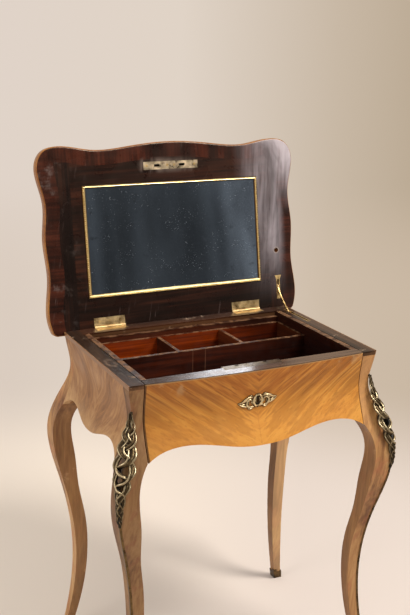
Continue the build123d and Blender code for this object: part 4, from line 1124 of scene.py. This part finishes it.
# Painted light and shade: the bottom and left fillets, lit from above, are bright down to their foot; the top
# and right ones are painted dull there.
fillet("bottom", (-OUTER_U, OUTER_LOW), 0, wide, 0.9, 1.0)
fillet("right", (OUTER_U, OUTER_LOW), 90, tall, 0.15, 1.0)
fillet("top", (OUTER_U, OUTER_HIGH), 180, wide, 0.05, 0.95)
fillet("left", (-OUTER_U, OUTER_HIGH), 270, tall, 0.6, 1.0)

# %% [markdown]
# ## The floor and the backdrop
# A wide pale sheet catches the table's shadow, and a second one stands far behind it. Away from
# the table both turn into a plain glow of one tint, seen straight and in reflections only, so
# that no horizon shows. The tint changes slowly from the room's left to its right, and carries
# painted light and shade: lighter on the left, darker on the right.

# %% Paper
ROOM_ACROSS, ROOM_DEEP = Vector((0.897, -0.443, 0)), Vector((0.443, 0.897, 0))
# Painted light and shade: the glow darkens from the left to the right, and the paper near the table is
# painted lighter on its left, where the table's shadow falls.
FAR_TINTS_AND_PAINTED_SHADE = [(0.0, paint(224, 211, 201)), (0.45, paint(224, 211, 198)), (0.72, paint(200, 184, 165)),
             (0.95, paint(180, 162, 138))]
NEAR_TINTS_AND_PAINTED_SHADE = [(0.3, paint(216, 201, 187)), (0.45, paint(228, 213, 199)), (0.62, paint(208, 190, 170))]
PAPER_TONES_AND_PAINTED_LIGHT = [(0.35, paint(230, 218, 205)), (0.6, paint(208, 197, 190))]


def empty_material(name):
    """A material with an empty graph, for what only stands on the stage."""
    material = bpy.data.materials.new(name)
    material.use_nodes = True
    material.node_tree.nodes.clear()
    return material, material.node_tree


def seen_rays(tree):
    """1 where light goes straight to the eye, by a reflection or through glass; 0 where it only bounces."""
    rays = put(tree, "ShaderNodeLightPath").node.outputs
    straight, glossy, glass = [Field(rays[f"Is {kind} Ray"]) for kind in ("Camera", "Glossy", "Transmission")]
    return maths("MAXIMUM", maths("MAXIMUM", straight, glossy), glass)


def studio_paper():
    """Paper that is lit near the table, with painted light and shade in its tones, and far off glows in its
    own tints, so no shadow marks it.
    """
    material, tree = empty_material("paper floor")
    place = place_of(tree)
    depth = vectors("DOT_PRODUCT", place, tuple(ROOM_DEEP)) + 2.0
    sideways = vectors("DOT_PRODUCT", place, tuple(ROOM_ACROSS)) / maths("MAXIMUM", depth, 0.5)
    tint_and_shade = ramp(sideways * 1.8 + 0.5, FAR_TINTS_AND_PAINTED_SHADE)
    tint_and_shade = mix(step(depth, 9.0, 4.5) * 0.7, tint_and_shade, ramp(sideways + 0.5, NEAR_TINTS_AND_PAINTED_SHADE))
    glow = put(tree, "ShaderNodeEmission", {"Color": tint_and_shade, "Strength": 1.0})
    sheet = put(tree, "ShaderNodeBsdfDiffuse", {"Color": ramp(sideways + 0.5, PAPER_TONES_AND_PAINTED_LIGHT)})
    far = step(vectors("LENGTH", place), 0.75, 1.8) * seen_rays(tree)
    put(tree, "ShaderNodeOutputMaterial", {0: put(tree, "ShaderNodeMixShader", {0: far, 1: sheet, 2: glow})})
    return material


print("paper is ready")

# %% Floor and backdrop
SHEET_SIZE, BACKDROP_AWAY, BACKDROP_HIGH = 60, 23, 25


def plane(name, size, material):
    start_clean()
    bpy.ops.mesh.primitive_plane_add(size=size)
    made = bpy.context.active_object
    made.name = name
    made.data.materials.append(material)
    return made


def hang(sheet, place, facing, wide=1.0, high=1.0):
    """Turn a flat sheet to face a direction, stretch it, and move it to its place."""
    turn = Vector(facing).to_track_quat("Z", "Y").to_matrix().to_4x4()
    sheet.data.transform(Matrix.Translation(place) @ turn @ Matrix.Diagonal((wide, high, 1, 1)))
    sheet.visible_shadow = False
    sheet.visible_diffuse = False


paper = studio_paper()
floor = plane("floor", SHEET_SIZE, paper)
backdrop = plane("backdrop", SHEET_SIZE, paper)
hang(backdrop, ROOM_DEEP * BACKDROP_AWAY + Vector((0, 0, BACKDROP_HIGH)), -ROOM_DEEP)
print("laid the floor and hung the backdrop")

# %% [markdown]
# ## Light
# A large soft lamp stands to the right, in front of the table and higher than the lid. The
# pale room fills the shadows from all sides. Two cards are seen in reflections only: a dark
# screen, which the mirror looks at as at the unlit end of a studio, and a small bright pane,
# whose glare lies on the dark wood of the drawer's top edge.

# %% Lamps and world
def soft_lamp(name, place, size, watts, colour):
    """A round lamp that looks at the middle of the table."""
    data = bpy.data.lights.new(name, "AREA")
    data.shape = "DISK"
    data.size = size
    data.energy = watts
    data.color = colour
    lamp = bpy.data.objects.new(name, data)
    bpy.context.scene.collection.objects.link(lamp)
    lamp.location = place
    lamp.rotation_euler = (Vector((0, 0, 0.5)) - Vector(place)).to_track_quat("-Z", "Y").to_euler()


soft_lamp("window", (1.3, -1.5, 3.4), 1.1, 112, (1.0, 0.95, 0.88))
soft_lamp("reflector", (-3.0, -0.6, 2.0), 2.0, 40, (1.0, 0.97, 0.94))

world = bpy.data.worlds.new("pale room")
bpy.context.scene.world = world
world.use_nodes = True
air = world.node_tree
air.nodes.clear()
room = put(air, "ShaderNodeBackground", {"Color": (1.0, 0.96, 0.91, 1), "Strength": 0.72})
wall = put(air, "ShaderNodeBackground", {"Color": paint(216, 202, 188), "Strength": 1.0})
both = put(air, "ShaderNodeMixShader", {0: seen_rays(air), 1: room, 2: wall})
put(air, "ShaderNodeOutputWorld", {0: both})
print("hung two lamps in a pale room")

# %% Cards that only reflections see
SCREEN_PLACE, SCREEN_FACING = Vector((2.0, -4.2, 1.1)), (0.426, -0.904, 0.0)
SCREEN_ACROSS = (0.904, 0.426, 0)
SCREEN_TINTS = [(0.4, paint(110, 112, 112)), (0.6, paint(132, 136, 138)), (0.95, paint(214, 220, 224))]
PANE_PLACE, PANE_FACING = Vector((1.47, -1.86, RIM_Z + 1.88)), (-1.24, 2.07, -1.74)


def screen_glow():
    """A dim sheet, lighter in soft upright bands toward its far end."""
    material, tree = empty_material("dark screen")
    from_middle = vectors("SUBTRACT", place_of(tree), (SCREEN_PLACE.x, SCREEN_PLACE.y, 0))
    across = vectors("DOT_PRODUCT", from_middle, SCREEN_ACROSS)
    level = step(across, 0.0, 0.9) * 0.6 + noise(combine(across), 4.0, 2.0, 0.6)
    glow = put(tree, "ShaderNodeEmission", {"Color": ramp(level, SCREEN_TINTS), "Strength": 1.0})
    put(tree, "ShaderNodeOutputMaterial", {0: glow})
    return material


def pane_glow():
    """The bright sheet whose glare lies on the drawer's top edge."""
    material, tree = empty_material("bright pane")
    glow = put(tree, "ShaderNodeEmission", {"Color": (1.0, 0.96, 0.92, 1), "Strength": 48.0})
    put(tree, "ShaderNodeOutputMaterial", {0: glow})
    return material


screen, pane = plane("dark_screen", 1, screen_glow()), plane("window_pane", 1, pane_glow())
hang(screen, SCREEN_PLACE, SCREEN_FACING, 3.2, 4.2)
hang(pane, PANE_PLACE, PANE_FACING, 0.4, 0.4)
for card in (screen, pane):
    card.visible_camera = False
print("hung the dark screen and the bright pane")

# %% [markdown]
# ## Camera
# The camera stands to the left, a little above the open lid, and looks down on the table. Its
# lens is a short telephoto, so the legs hardly converge.

# %% Camera
YAW, PITCH, ROLL = math.radians(26.27), math.radians(15.70), math.radians(1.00)
CAMERA_PLACE = Vector((-0.86815, -1.70151 + CASE_Y, RIM_Z + 0.60554))
ahead = Vector((math.sin(YAW) * math.cos(PITCH), math.cos(YAW) * math.cos(PITCH), -math.sin(PITCH)))
level = Vector((math.cos(YAW), -math.sin(YAW), 0))
above = level.cross(ahead)
right = math.cos(ROLL) * level + math.sin(ROLL) * above
up = -math.sin(ROLL) * level + math.cos(ROLL) * above
lens = bpy.data.cameras.new("view")
lens.lens = 58.82
lens.sensor_width = 36
camera = bpy.data.objects.new("view", lens)
bpy.context.scene.collection.objects.link(camera)
turned = Matrix((right, up, -ahead)).transposed().to_4x4()
camera.matrix_world = Matrix.Translation(CAMERA_PLACE) @ turned
bpy.context.scene.camera = camera
bpy.context.scene.view_settings.view_transform = "Standard"
print("camera stands", round(camera.location.length, 2), "m from the origin")
